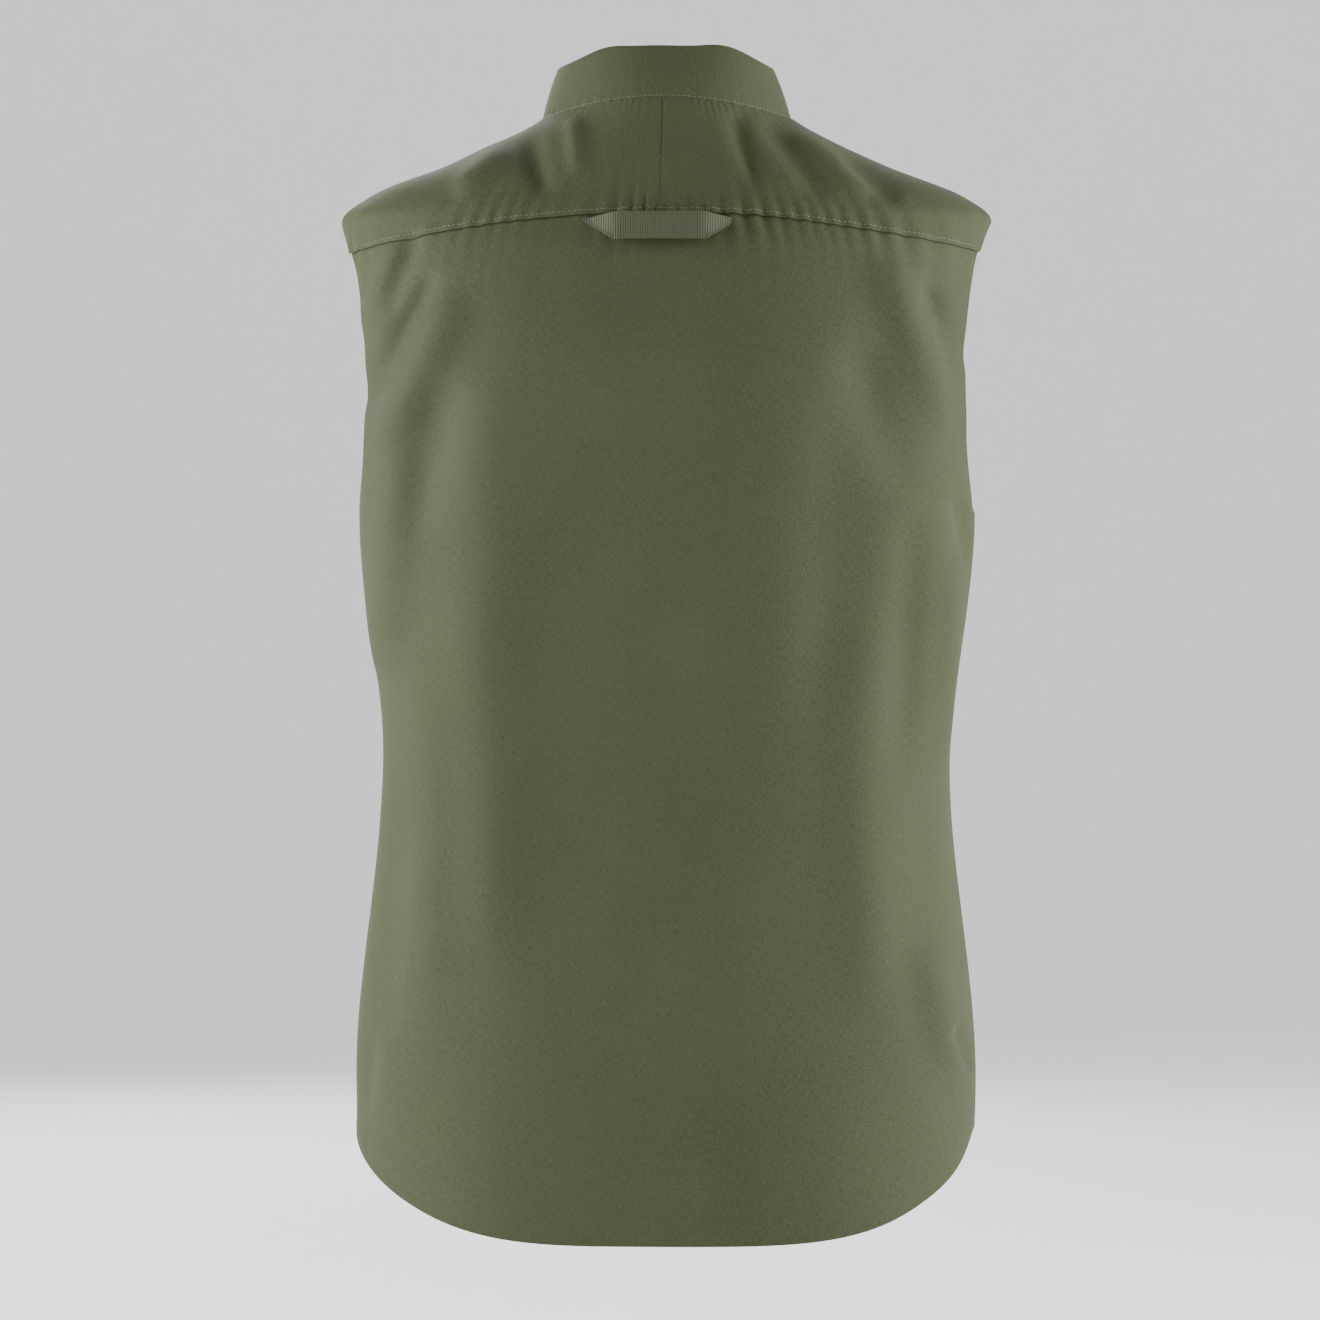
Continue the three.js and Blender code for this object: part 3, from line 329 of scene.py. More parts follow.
def woven(name, colour, pitch, depth, uneven, roughness, sheen=0.03):
    """Woven cloth: uneven warp and weft threads about a pitch wide on the flat pattern, and uneven dye."""
    material, tree, shader, start = new_material(name)
    uv = start.out("ShaderNodeUVMap", {"uv_map": "pattern"})
    place = start.out("ShaderNodeTexCoord", output=3)
    fine, coarse = 1.1 / pitch, 0.24 / pitch
    warp_at = start.out("ShaderNodeMapping", i0=uv, Scale=(fine, coarse, 1.0))
    weft_at = start.out("ShaderNodeMapping", i0=uv, Scale=(coarse, fine, 1.0))
    warp = start.out("ShaderNodeTexNoise", output=0, Vector=warp_at, Scale=1.0, Detail=2.0) - 0.5
    weft = start.out("ShaderNodeTexNoise", output=0, Vector=weft_at, Scale=1.0, Detail=2.0) - 0.5
    cloud = start.out("ShaderNodeTexNoise", output=0, Vector=place, Scale=9.0, Detail=3.0, Roughness=0.55)
    tone = 0.5 + uneven * (warp * 0.9 + weft * 0.8 + (cloud - 0.5) * 0.4)
    dark, light = [c * 0.62 for c in colour] + [1], [c * 1.42 for c in colour] + [1]
    stops = [(0.0, dark), (0.5, [*colour, 1]), (1.0, light)]
    ramp = start.node("ShaderNodeValToRGB", {"stops": stops}, i0=tone)
    tree.links.new(ramp.outputs[0], shader.inputs["Base Color"])
    connect(tree, roughness + 0.16 * (cloud - 0.5) + 0.1 * warp, shader.inputs["Roughness"])
    bump = start.out("ShaderNodeBump", Height=warp + weft, Strength=depth, Distance=0.0003)
    connect(tree, bump, shader.inputs["Normal"])
    shader.inputs["Sheen Weight"].default_value = sheen
    shader.inputs["Sheen Roughness"].default_value = 0.45
    shader.inputs["Specular IOR Level"].default_value = 0.14
    return material


shell_cloth = woven("shell cloth", (0.0292, 0.0332, 0.0142), 0.00075, 0.7, 1.25, 0.76)


def face_out(bm, inside):
    """Turns a sheet so that its faces point away from the point that inside gives for each."""
    away = sum((f.calc_center_median() - inside(f.calc_center_median())).dot(f.normal) for f in bm.faces)
    if away < 0:
        bmesh.ops.reverse_faces(bm, faces=bm.faces[:])


def spine(point):
    """The middle of the body at a point's height."""
    return Vector((0, 0, point.z))


def finished(name, bm, material, sharp=50):
    """The mesh as a named object at the origin, smooth but for its sharp edges."""
    mesh = bpy.data.meshes.new(name)
    bm.to_mesh(mesh)
    bm.free()
    for polygon in mesh.polygons:
        polygon.use_smooth = True
    mesh.set_sharp_from_angle(angle=math.radians(sharp))
    mesh.materials.append(material)
    piece = bpy.data.objects.new(name, mesh)
    bpy.context.scene.collection.objects.link(piece)
    return piece


def sheet_mesh(columns, rows, place, pattern, inside=spine):
    """A grid laid where place(u, v) says, with pattern(u, v) as its UV on the flat cloth."""
    bm = bmesh.new()
    bmesh.ops.create_grid(bm, x_segments=columns, y_segments=rows, size=0.5)
    bm.verts.ensure_lookup_table()
    u = np.array([v.co.x + 0.5 for v in bm.verts])
    v = np.array([v.co.y + 0.5 for v in bm.verts])
    flat = pattern(u, v)
    layer = bm.loops.layers.uv.new("pattern")
    for face in bm.faces:
        for loop in face.loops:
            loop[layer].uv = flat[loop.vert.index]
    for vert, point in zip(bm.verts, place(u, v)):
        vert.co = point
    bm.normal_update()
    face_out(bm, inside)
    bm.normal_update()
    return bm


def thicken(bm, thickness):
    """Gives a sheet its thickness inwards. Solidify throws spikes at the pockets' tight folds."""
    layer = bm.loops.layers.uv.active
    flat = {loop.vert: loop[layer].uv.copy() for face in bm.faces for loop in face.loops}
    behind = {v: bm.verts.new(v.co - v.normal * thickness) for v in bm.verts[:]}
    flat.update({behind[v]: uv for v, uv in list(flat.items())})
    edges = [(e.link_loops[0].link_loop_next.vert, e.link_loops[0].vert) for e in bm.edges if e.is_boundary]
    made = [bm.faces.new([behind[v] for v in reversed(face.verts)]) for face in bm.faces[:]]
    made += [bm.faces.new((a, b, behind[b], behind[a])) for a, b in edges]
    for face in made:
        for loop in face.loops:
            loop[layer].uv = flat[loop.vert]
    bm.normal_update()


def cloth_piece(
    name, grid, place, pattern, material, size, thickness=0.0010, inside=spine,
):
    """A cut piece of cloth: its mesh and its thickness; the flat size has no effect."""
    bm = sheet_mesh(*grid, place, pattern, inside)
    cut = sum(face.calc_area() for face in bm.faces)
    thicken(bm, thickness)
    piece = finished(name, bm, material)
    min(cut, size[0] * size[1])
    return piece


# A hinge for each front where its cloth leaves the side seam and the shoulder: a point and an axis on each
# side. Nothing reads them; bend_with_front only bakes each piece's placement into its mesh.
HINGE = {"left": (Vector((0.118, -0.062, -0.005)), Vector((-0.62, -0.78, -0.082)).normalized())}
HINGE["right"] = tuple(Vector((-v.x, v.y, v.z)) for v in HINGE["left"])


def bend_with_front(piece):
    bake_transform(piece)


def arc_pattern(turn, z):
    """The flat cloth's own coordinates of a point."""
    return np.stack([turn * PATTERN_RADIUS, z], axis=-1)


def back_at(u, v):
    t = 2 * u - 1
    edge_turn = t * (SIDE - SIDE_GAP)
    top = yoke_seam(np.clip(edge_turn, -SEAM_END, SEAM_END)) + 0.006
    z = even_rows(v, back_hem(edge_turn), top, ARMPIT, 0.60)
    edge = SIDE - SIDE_GAP - np.where(z > ARMPIT, ARMHOLE_BACK * armhole_share(z), 0)
    return t * edge, z


back_panel = cloth_piece(
    "back_panel_cloth", (176, 150), lambda u, v: cloth_at(*back_at(u, v), CLOTH),
    lambda u, v: arc_pattern(*back_at(u, v)), shell_cloth, (0.50, 0.60),
)
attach(back_panel, "back")
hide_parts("back_panel")


# ---- Yoke: two shoulder pieces that meet in a seam down the centre back and wrap over to the chest. The
# lower edge is turned under and topstitched onto the back panel.
YOKE_LIFT = CLOTH + 0.0009
YOKE_FRONT = math.radians(112)
CENTRE_GAP = 0.0005


def yoke_at(sign, u, v):
    turn = sign * (CENTRE_GAP + (YOKE_FRONT - CENTRE_GAP) * u)
    seam = np.where(np.abs(turn) < SIDE, yoke_seam(turn), 0)
    low = np.maximum(seam, armhole_top(turn))
    return turn, low + (neckline(turn) - low) * v


def yoke_cloth(sign):
    def place(u, v):
        turn, z = yoke_at(sign, u, v)
        edge = np.exp(-v / 0.02) * 0.0006
        roll = np.exp(-np.abs(turn) * 0.1 / 0.0016)
        return cloth_at(turn, z, YOKE_LIFT + CLOTH - edge - 0.0007 * roll)

    return place


for side, sign in (("left", 1), ("right", -1)):
    yoke = cloth_piece(
        f"yoke_{side}_cloth", (150, 44), yoke_cloth(sign),
        lambda u, v, s=sign: arc_pattern(*yoke_at(s, u, v)),
        shell_cloth, (0.34, 0.12),
    )
    bend_with_front(yoke)
    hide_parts(f"yoke_{side}")


# ---- Collar: a stand collar of two layers, folded over at the top edge and sewn to the neckline.
COLLAR_HEIGHT = 0.034
COLLAR_BASE = -0.0015
LEAN_BACK, LEAN_SIDE, LEAN_FRONT = math.radians(32), math.radians(17), math.atan(FRONT_SLOPE)
COLLAR_SPLIT = math.radians(78)
COLLAR_END = 0.086  # the turn between the collar's end and the centre front
COLLAR_RADIUS = 0.07
COLLAR_GAP = 0.0018  # between the outer layer's face and the lining's, at the fold


def collar_at(turn, height, offset):
    """A point height up the leaning collar and offset out of its middle."""
    fuller = 0.155 * np.maximum(0, np.cos(turn)) ** 2 + 0.13 * np.exp(-(((np.abs(turn) - 0.78) / 0.33) ** 2))
    height = np.asarray(height) * (1 + fuller)
    base = on_form(turn, neckline(turn))
    inward = -np.stack([base[..., 0], base[..., 1], 0 * turn], axis=-1)
    inward /= np.linalg.norm(inward, axis=-1, keepdims=True)
    c = np.cos(turn)
    lean = LEAN_SIDE + (np.where(c > 0, LEAN_BACK, LEAN_FRONT) - LEAN_SIDE) * c * c
    sin, cos = np.sin(lean)[..., None], np.cos(lean)[..., None]
    up = np.array([0, 0, 1.0])
    rise, out = inward * sin + up * cos, -inward * cos + up * sin
    s = turn * COLLAR_RADIUS
    wave = 0.0011 * np.sin(s * 55 + 1) * np.sin(s * 19) * np.clip(height / COLLAR_HEIGHT, 0, 1)
    ripple = 0.00025 * np.exp(-np.abs(height) / 0.006) * np.sin(s * 760)
    base = base + rise * np.asarray(height)[..., None] + out * (np.asarray(offset) + wave + ripple)[..., None]
    return base - [0, 0, SHOULDER_LEVEL]


def collar_cloth(start, stop):
    """Up the outer face, over the fold and down the lining."""
    fold = 0.10

    def place(u, v):
        turn = start + (stop - start) * u
        top = COLLAR_HEIGHT - CLOTH
        up = COLLAR_BASE + (top - COLLAR_BASE) * v / (0.5 - fold / 2)
        down = COLLAR_BASE + (top - COLLAR_BASE) * (1 - v) / (0.5 - fold / 2)
        a = np.clip((v - 0.5) / fold + 0.5, 0, 1) * math.pi
        half = COLLAR_GAP / 2 + CLOTH / 2
        height = np.where(a <= 0, up, np.where(a >= math.pi, down, top + half * np.sin(a)))
        puff = 0.0007 * np.sin(np.pi * np.clip(height / top, 0, 1))
        return collar_at(turn, height, half * np.cos(a) + puff * np.cos(a))

    return place


for name, start, stop, side in (
    ("collar_back_cloth", -COLLAR_SPLIT, COLLAR_SPLIT, None),
    ("collar_left_cloth", COLLAR_SPLIT, math.pi - COLLAR_END, "left"),
    ("collar_right_cloth", -COLLAR_SPLIT, COLLAR_END - math.pi, "right"),
):
    length = 0.26 if side is None else 0.16
    collar = cloth_piece(
        name, (110 if side is None else 70, 40), collar_cloth(start, stop),
        lambda u, v, a=start, b=stop: np.stack([(a + (b - a) * u), v], axis=-1) * COLLAR_RADIUS,
        shell_cloth, (length, 0.075),
    )
    if side is None:
        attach(collar, "back")
        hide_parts("collar_back", "collar_lining_back")
    else:
        bend_with_front(collar)
        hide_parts(f"collar_{side}", f"collar_lining_{side}")


# ---- Fronts: left and right, from the side seam to the folded edge beside the zip, with the turned-in
# facing behind that edge.
ZIP_EDGE = 0.007  # from the middle line to each front's edge
YOKE_LAP = math.radians(3)


def turn_at_x(x, z):
    """The turn at which the front of the form has a given x."""
    low, high = np.full_like(z, SIDE), np.full_like(z, math.pi)
    for _ in range(30):
        middle = (low + high) / 2
        wide = on_form(middle, z)[..., 0] > x
        low, high = np.where(wide, middle, low), np.where(wide, high, middle)
    return low


def front_hem(turn):
    """The height of the front's hem."""
    return FRONT_HEM_LIFT + (HEM_RISE - FRONT_HEM_LIFT) * breadth(turn) ** HEM_SHARPNESS


def front_at(sign, u, v):
    side = SIDE + SIDE_GAP
    column = side + (math.pi - side) * u
    shoulder = YOKE_FRONT - YOKE_LAP
    top = neckline(np.maximum(column, shoulder))
    z = even_rows(v, front_hem(column), top, ARMPIT, 0.56)
    over = np.where(z > ARMPIT, ARMHOLE_FRONT * armhole_share(z), 0)
    edge = np.where(z > ARMHOLE_CENTRE, np.maximum(side + over, shoulder), side + over)
    return sign * (edge + (turn_at_x(ZIP_EDGE, z) - edge) * u), z


for side, sign in (("left", 1), ("right", -1)):
    front = cloth_piece(
        f"front_{side}_cloth", (96, 150), lambda u, v, s=sign: cloth_at(*front_at(s, u, v), CLOTH),
        lambda u, v, s=sign: arc_pattern(*front_at(s, u, v)),
        shell_cloth, (0.27, 0.63),
    )
    bend_with_front(front)
    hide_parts(f"front_panel_{side}")


# ---- Facings and linings: lighter cloth inside the hem, the armholes, the fronts and the yoke.
lining_cloth = woven("lining cloth", (0.028, 0.0312, 0.0142), 0.0006, 0.3, 0.8, 0.8)
FACING_LIFT, FRONT_FACING_LIFT = -0.0012, -0.0026
FACING = 0.0007
HEM_FACING, ARMHOLE_FACING, FRONT_FACING = 0.024, 0.011, 0.038  # widths
HEM_EDGE = 0.0006  # the facing's edge stands this far above the hem
BACK_REACH, LINING_REACH = 1.535, 1.25  # turns to each side of the centre back
FRONT_START, FRONT_RUN = 1.6, 1.38  # turns from the side seam to the zip


def strip(name, grid, place, node, size, side=None, lift=FACING_LIFT):
    """A facing or lining behind the panels, in place of one CAD node."""
    facing = cloth_piece(
        name, grid, lambda u, v: cloth_at(*place(u, v), lift), lambda u, v: arc_pattern(*place(u, v)),
        lining_cloth, size, FACING,
    )
    if side is None:
        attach(facing, "back")
    else:
        bend_with_front(facing)
    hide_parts(node)


def armhole_at(sign, around, v):
    """Around the armhole from the armpit, up the back, over the tip and down the front; v goes outwards."""
    a = around * 2 * math.pi
    power = 2 / ARMHOLE_SHARPNESS
    high = -np.sign(np.cos(a)) * np.abs(np.cos(a)) ** power
    wide = -np.sign(np.sin(a)) * np.abs(np.sin(a)) ** power
    turn = SIDE + wide * np.where(wide < 0, ARMHOLE_BACK, ARMHOLE_FRONT)
    z = ARMHOLE_CENTRE + high * ARMHOLE_HALF
    return sign * (turn - np.sin(a) * ARMHOLE_FACING * v / 0.150), z - np.cos(a) * ARMHOLE_FACING * v


def back_hem_at(u, v):
    turn = BACK_REACH * (2 * u - 1)
    return turn, back_hem(turn) + HEM_EDGE + HEM_FACING * v


def front_hem_at(sign, u, v):
    turn = FRONT_START + FRONT_RUN * u
    return sign * turn, front_hem(turn) + HEM_EDGE + HEM_FACING * v


def lining_at(u, v):
    turn = LINING_REACH * (2 * u - 1)
    return turn, yoke_seam(turn) + (neckline(turn) - yoke_seam(turn)) * v


def front_facing_at(sign, u, v):
    z = FRONT_HEM_LIFT + 0.004 + 0.566 * v
    return sign * turn_at_x(ZIP_EDGE + 0.0005 + FRONT_FACING * (1 - u), z), z


strip("hem_facing_back_cloth", (120, 8), back_hem_at, "hem_facing_back", (0.50, 0.025))
strip("yoke_lining_cloth", (90, 30), lining_at, "yoke_lining", (0.42, 0.10))
for side, sign in (("left", 1), ("right", -1)):
    strip(
        f"hem_facing_{side}_cloth", (70, 8), lambda u, v, s=sign: front_hem_at(s, u, v),
        f"hem_facing_front_{side}", (0.27, 0.025), side,
    )
    strip(
        f"armhole_facing_{side}_cloth", (120, 5), lambda u, v, s=sign: armhole_at(s, 0.005 + 0.635 * u, v),
        f"armhole_facing_{side}", (0.40, 0.0125), side,
    )
    strip(
        f"armhole_facing_front_{side}_cloth", (70, 5), lambda u, v, s=sign: armhole_at(s, 0.64 + 0.355 * u, v),
        f"armhole_facing_front_{side}", (0.21, 0.0125), side,
    )
    strip(
        f"front_facing_{side}_cloth", (10, 90), lambda u, v, s=sign: front_facing_at(s, u, v),
        f"front_facing_{side}", (0.045, 0.57), side, FRONT_FACING_LIFT,
    )


# ---- Zip: woven tape down each front edge with a row of moulded teeth, stops at the top, and at the
# bottom a box on the wearer's left and a pin on the right. The slider stands at the top of the closed zip.
ZIP_BOTTOM, ZIP_TOP = 0.024, 0.617
TOOTH_PITCH = 0.0026
TAPE_EDGE, TAPE_WIDTH, TAPE_LENGTH = 0.0026, 0.0104, 0.596


def plain(name, colour, roughness, grain=0.2, metallic=0.0, scale=600.0):
    """A finish of one colour with a fine uneven grain and slight wear."""
    material, tree, shader, start = new_material(name)
    place = start.out("ShaderNodeTexCoord", output=3)
    fine = start.out("ShaderNodeTexNoise", output=0, Vector=place, Scale=scale, Detail=3.0)
    worn = start.out("ShaderNodeTexNoise", output=0, Vector=place, Scale=60.0, Detail=4.0)
    tone = 0.5 + grain * ((fine - 0.5) + (worn - 0.5) * 1.2)
    low, high = [c * 0.6 for c in colour] + [1], [min(1, c * 1.5) for c in colour] + [1]
    stops = [(0.0, low), (0.5, [*colour, 1]), (1.0, high)]
    ramp = start.node("ShaderNodeValToRGB", {"stops": stops}, i0=tone)
    tree.links.new(ramp.outputs[0], shader.inputs["Base Color"])
    connect(tree, roughness + 0.25 * (worn - 0.5), shader.inputs["Roughness"])
    shader.inputs["Metallic"].default_value = metallic
    bump = start.out("ShaderNodeBump", Height=fine, Strength=0.15, Distance=0.0001)
    connect(tree, bump, shader.inputs["Normal"])
    return material


tape_cloth = woven("zip tape", (0.034, 0.038, 0.028), 0.0009, 0.5, 0.3, 0.7)
teeth_plastic = plain("moulded teeth", (0.030, 0.033, 0.025), 0.42)
dark_metal = plain("coated metal", (0.075, 0.075, 0.070), 0.38, 0.25, 0.85)
zip_tilt = math.atan(FRONT_SLOPE)
zip_out = np.array([0, -math.cos(zip_tilt), math.sin(zip_tilt)])


def on_zip(x, z, lift):
    """A point beside the front's straight middle line, with lift out of it."""
    x, z, lift = np.broadcast_arrays(x, z, lift)
    base = np.stack([x, -(FRONT_NECK_DEPTH + (FRONT_NECK - z) * FRONT_SLOPE), z - SHOULDER_LEVEL], axis=-1)
    return base + lift[..., None] * zip_out


def tape_at(sign, u, v):
    return on_zip(sign * (TAPE_EDGE + TAPE_WIDTH * u), ZIP_BOTTOM + (ZIP_TOP - ZIP_BOTTOM) * v, -CLOTH)


def refined(node, material, body, edge):
    """A hard piece: the frame's own shape with its sharp edges rounded."""
    bm = bmesh.new()
    bm.from_mesh(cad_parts[node].data)
    bmesh.ops.remove_doubles(bm, verts=bm.verts[:], dist=2e-6)
    bmesh.ops.dissolve_limit(bm, angle_limit=0.02, verts=bm.verts[:], edges=bm.edges[:])
    corners = [e for e in bm.edges if len(e.link_faces) == 2 and e.calc_face_angle(0) > 0.6]
    bmesh.ops.bevel(bm, geom=corners, offset=edge, offset_type="OFFSET", affect="EDGES", segments=2,
                    profile=0.5, material=-1, clamp_overlap=True)
    piece = finished(f"{node}_fine", bm, material, 35)
    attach(piece, body)
    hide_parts(node)


def add_tooth(bm, sign, z):
    """One tooth: a block round the tape's edge with a narrow head over the middle line."""
    half, front, back = 0.00052, 0.0007, -0.0024  # half its height, and its two faces' lifts
    outline = [(0.0030, 1.0), (0.0014, 1.0), (0.0008, 0.72), (0.0002, 1.05), (-0.0007, 0.9)]
    rings = []
    for x, wide in outline:
        corners = [(half, back), (half, front), (-half, front), (-half, back)]
        ring = [bm.verts.new(on_zip(sign * x, z + h * wide, lift)) for h, lift in corners]
        rings.append(ring)
    for a, b in zip(rings, rings[1:]):
        for k in range(4):
            bm.faces.new((a[k], a[(k + 1) % 4], b[(k + 1) % 4], b[k]))
    bm.faces.new(rings[0][::-1])
    bm.faces.new(rings[-1])


for side, sign in (("left", 1), ("right", -1)):
    tape = cloth_piece(
        f"zip_tape_{side}_cloth", (6, 160), lambda u, v, s=sign: tape_at(s, u, v),
        lambda u, v: np.stack([u * TAPE_WIDTH, v * (ZIP_TOP - ZIP_BOTTOM)], axis=-1),
        tape_cloth, (TAPE_WIDTH, TAPE_LENGTH), 0.0007,
    )
    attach(tape, f"front_{side}")
    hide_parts(f"zip_tape_{side}")
    bm = bmesh.new()
    for z in np.arange(ZIP_BOTTOM + 0.0088, ZIP_TOP - 0.0035, TOOTH_PITCH):
        add_tooth(bm, sign, z + (TOOTH_PITCH / 2 if sign < 0 else 0))
    bmesh.ops.recalc_face_normals(bm, faces=bm.faces[:])
    teeth = finished(f"zip_teeth_{side}", bm, teeth_plastic, 40)
    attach(teeth, f"front_{side}")
    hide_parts(f"zip_chain_{side}")
    refined(f"zip_stop_{side}", teeth_plastic, f"front_{side}", 0.0003)
refined("zip_box", teeth_plastic, "front_left", 0.0005)
refined("zip_pin", teeth_plastic, "front_right", 0.0002)
refined("zip_slider", dark_metal, "zip_slider", 0.0003)
refined("zip_pull", dark_metal, "zip_pull", 0.00035)


# ---- Pockets: on each front a chest pocket and a larger lower one. Each is a bag with side and bottom
# gussets sewn on the front, an open hemmed mouth, and a doubled flap sewn on above it.
POCKETS = {
    "chest": {"inner": 0.028, "outer": 0.114, "bottom": 0.375, "height": 0.095, "deep": (0.022, 0.016),
              "drop": 0.044, "flat": (0.145, 0.125), "flap": (0.092, 0.050)},
    "lower": {"inner": 0.028, "outer": 0.132, "bottom": 0.080, "height": 0.125, "deep": (0.030, 0.022),
              "drop": 0.052, "flat": (0.175, 0.165), "flap": (0.112, 0.058)},
}
POCKET_BACK = CLOTH + 0.0004
FLAP_RISE, FLAP_SIDE, FLAP_LIFT, FLAP_THICK = 0.012, 0.002, 0.0026, 0.0014
FLAP_CORNER = 0.009


def ahead(sign, x, z, lift):
    """A point of the front seen from ahead at x, z, with lift out of the form."""
    x, z, lift = np.broadcast_arrays(x, z, lift)
    turn = sign * turn_at_x(x.astype(float), z.astype(float))
    return on_form(turn, z) + out_of_form(turn, z) * lift[..., None] - [0, 0, SHOULDER_LEVEL]


def pocket_depth(pocket, z):
    """How far the pocket's face stands out; it is deeper at the bottom."""
    share = (z - pocket["bottom"]) / pocket["height"]
    return pocket["deep"][0] + (pocket["deep"][1] - pocket["deep"][0]) * share


def gusset(t):
    """A side's run from the front panel (0) to the pocket's face (1): how far in, and how far out."""
    return 0.0030 * t + 0.0004 * np.sin(2 * np.pi * t), t


def bag(sign, pocket, seed):
    """The pocket's cloth: its gussets take the outer shares of the grid."""
    side_share, base_share = 0.20, 0.17
    inner, outer, bottom = pocket["inner"], pocket["outer"], pocket["bottom"]
    top = bottom + pocket["height"]

    def place(u, v):
        near = np.clip(np.minimum(u, 1 - u) / side_share, 0, 1)
        low = np.clip(v / base_share, 0, 1)
        inset, out_side = gusset(near)
        inset_low, out_low = gusset(low)
        across = np.clip((u - side_share) / (1 - 2 * side_share), 0, 1)
        face_x = inner + 0.003 + (outer - inner - 0.006) * across
        x = np.where(u < side_share, inner + inset, np.where(u > 1 - side_share, outer - inset, face_x))
        rows = np.clip((v - base_share) / (1 - base_share), 0, 1)
        z = np.where(v < base_share, bottom + inset_low, bottom + 0.003 + (top - bottom - 0.003) * rows)
        share = np.minimum(out_side, out_low)
        face = smooth(np.minimum(across, 1 - across) * 5) * smooth(rows * 4)
        soft = 0.0016 * np.sin(math.pi * across) * face
        waves = np.array([noise.noise(Vector((a * 38 + seed, b * 22, seed))) for a, b in zip(x, z)])
        soft = soft + 0.0016 * waves * (share > 0.5) * face + 0.0008 * waves * share
        calm_at_snap = np.exp(-(((x - (inner + outer) / 2) ** 2 + (z - snap_height(pocket)) ** 2) / 0.00022))
        lift = POCKET_BACK + (pocket_depth(pocket, z) - POCKET_BACK) * share + soft * (1 - calm_at_snap)
        edge = np.exp(-((near - 0.97) / 0.05) ** 2) + np.exp(-((low - 0.97) / 0.05) ** 2)
        return ahead(sign, x, z, lift - 0.0004 * edge * (share > 0.6))

    return place


def snap_height(pocket):
    """The height of the snap, which is near the flap's lower edge."""
    return pocket["bottom"] + pocket["height"] + FLAP_RISE - pocket["drop"] + 0.012


def flap(sign, pocket, seed):
    """The flap's cloth, with its lower corners rounded."""
    mouth = pocket["bottom"] + pocket["height"]
    top, bottom = mouth + FLAP_RISE, mouth + FLAP_RISE - pocket["drop"]
    inner, outer = pocket["inner"] - FLAP_SIDE, pocket["outer"] + FLAP_SIDE

    def place(u, v):
        x = inner + (outer - inner) * u
        corner = np.clip(1 - np.minimum(x - inner, outer - x) / FLAP_CORNER, 0, 1)
        low = bottom + FLAP_CORNER * (1 - np.sqrt(1 - corner**2))
        z = low + (top - low) * v
        over = pocket_depth(pocket, z) + FLAP_LIFT + FLAP_THICK
        close = CLOTH + 0.0006 + FLAP_THICK
        lift = over + (close - over) * smooth((z - mouth - 0.001) / (FLAP_RISE - 0.002))
        waves = np.array([noise.noise(Vector((a * 30 + seed, b * 14, seed + 3))) for a, b in zip(x, z)])
        snap = ((x - (inner + outer) / 2) ** 2 + (z - snap_height(pocket)) ** 2) ** 0.5
        soft = (0.0010 * waves + 0.0012) * smooth((snap - 0.006) / 0.018) * smooth((top - z) / 0.012)
        rim = -0.0004 * np.exp(-np.minimum(np.minimum(x - inner, outer - x), z - low) / 0.0012)
        return ahead(sign, x, z, lift + soft + rim)

    return place


for side, sign in (("left", 1), ("right", -1)):
    for name, pocket in POCKETS.items():
        wide, tall = pocket["flat"]
        seed = sign * 3.1 + tall * 40
        pouch = cloth_piece(
            f"{name}_pocket_{side}_cloth", (96, 80), bag(sign, pocket, seed),
            lambda u, v, w=wide, t=tall: np.stack([u * w, v * t], axis=-1),
            shell_cloth, pocket["flat"],
        )
        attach(pouch, f"front_{side}")
        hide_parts(f"{name}_pocket_{side}")
        wide, tall = pocket["flap"]
        cover = cloth_piece(
            f"{name}_flap_{side}_cloth", (70, 40), flap(sign, pocket, seed + 1),
            lambda u, v, w=wide, t=tall: np.stack([u * w, v * t], axis=-1),
            shell_cloth, pocket["flap"], FLAP_THICK,
        )
        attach(cover, f"{name}_flap_{side}")
        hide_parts(f"{name}_flap_{side}")
        refined(f"{name}_snap_{side}", dark_metal, f"{name}_flap_{side}", 0.00035)
        refined(f"{name}_stud_{side}", dark_metal, f"front_{side}", 0.0002)


# ---- Hang loop: a strip of ribbed webbing across the middle of the back, its ends folded on the slant
# into the yoke seam so that the middle stands off for a finger or a clip.
LOOP_TOP, LOOP_BOTTOM, LOOP_HEIGHT = 0.088, 0.052, 0.016
RIB = LOOP_TOP / 64
loop_top_z = NAPE - YOKE_DROP - 0.0030
LOOP_TILT = math.radians(25.834)  # how far the back leans where the loop is sewn
LOOP_HANG = math.radians(14)  # how far the strip leans out as it hangs


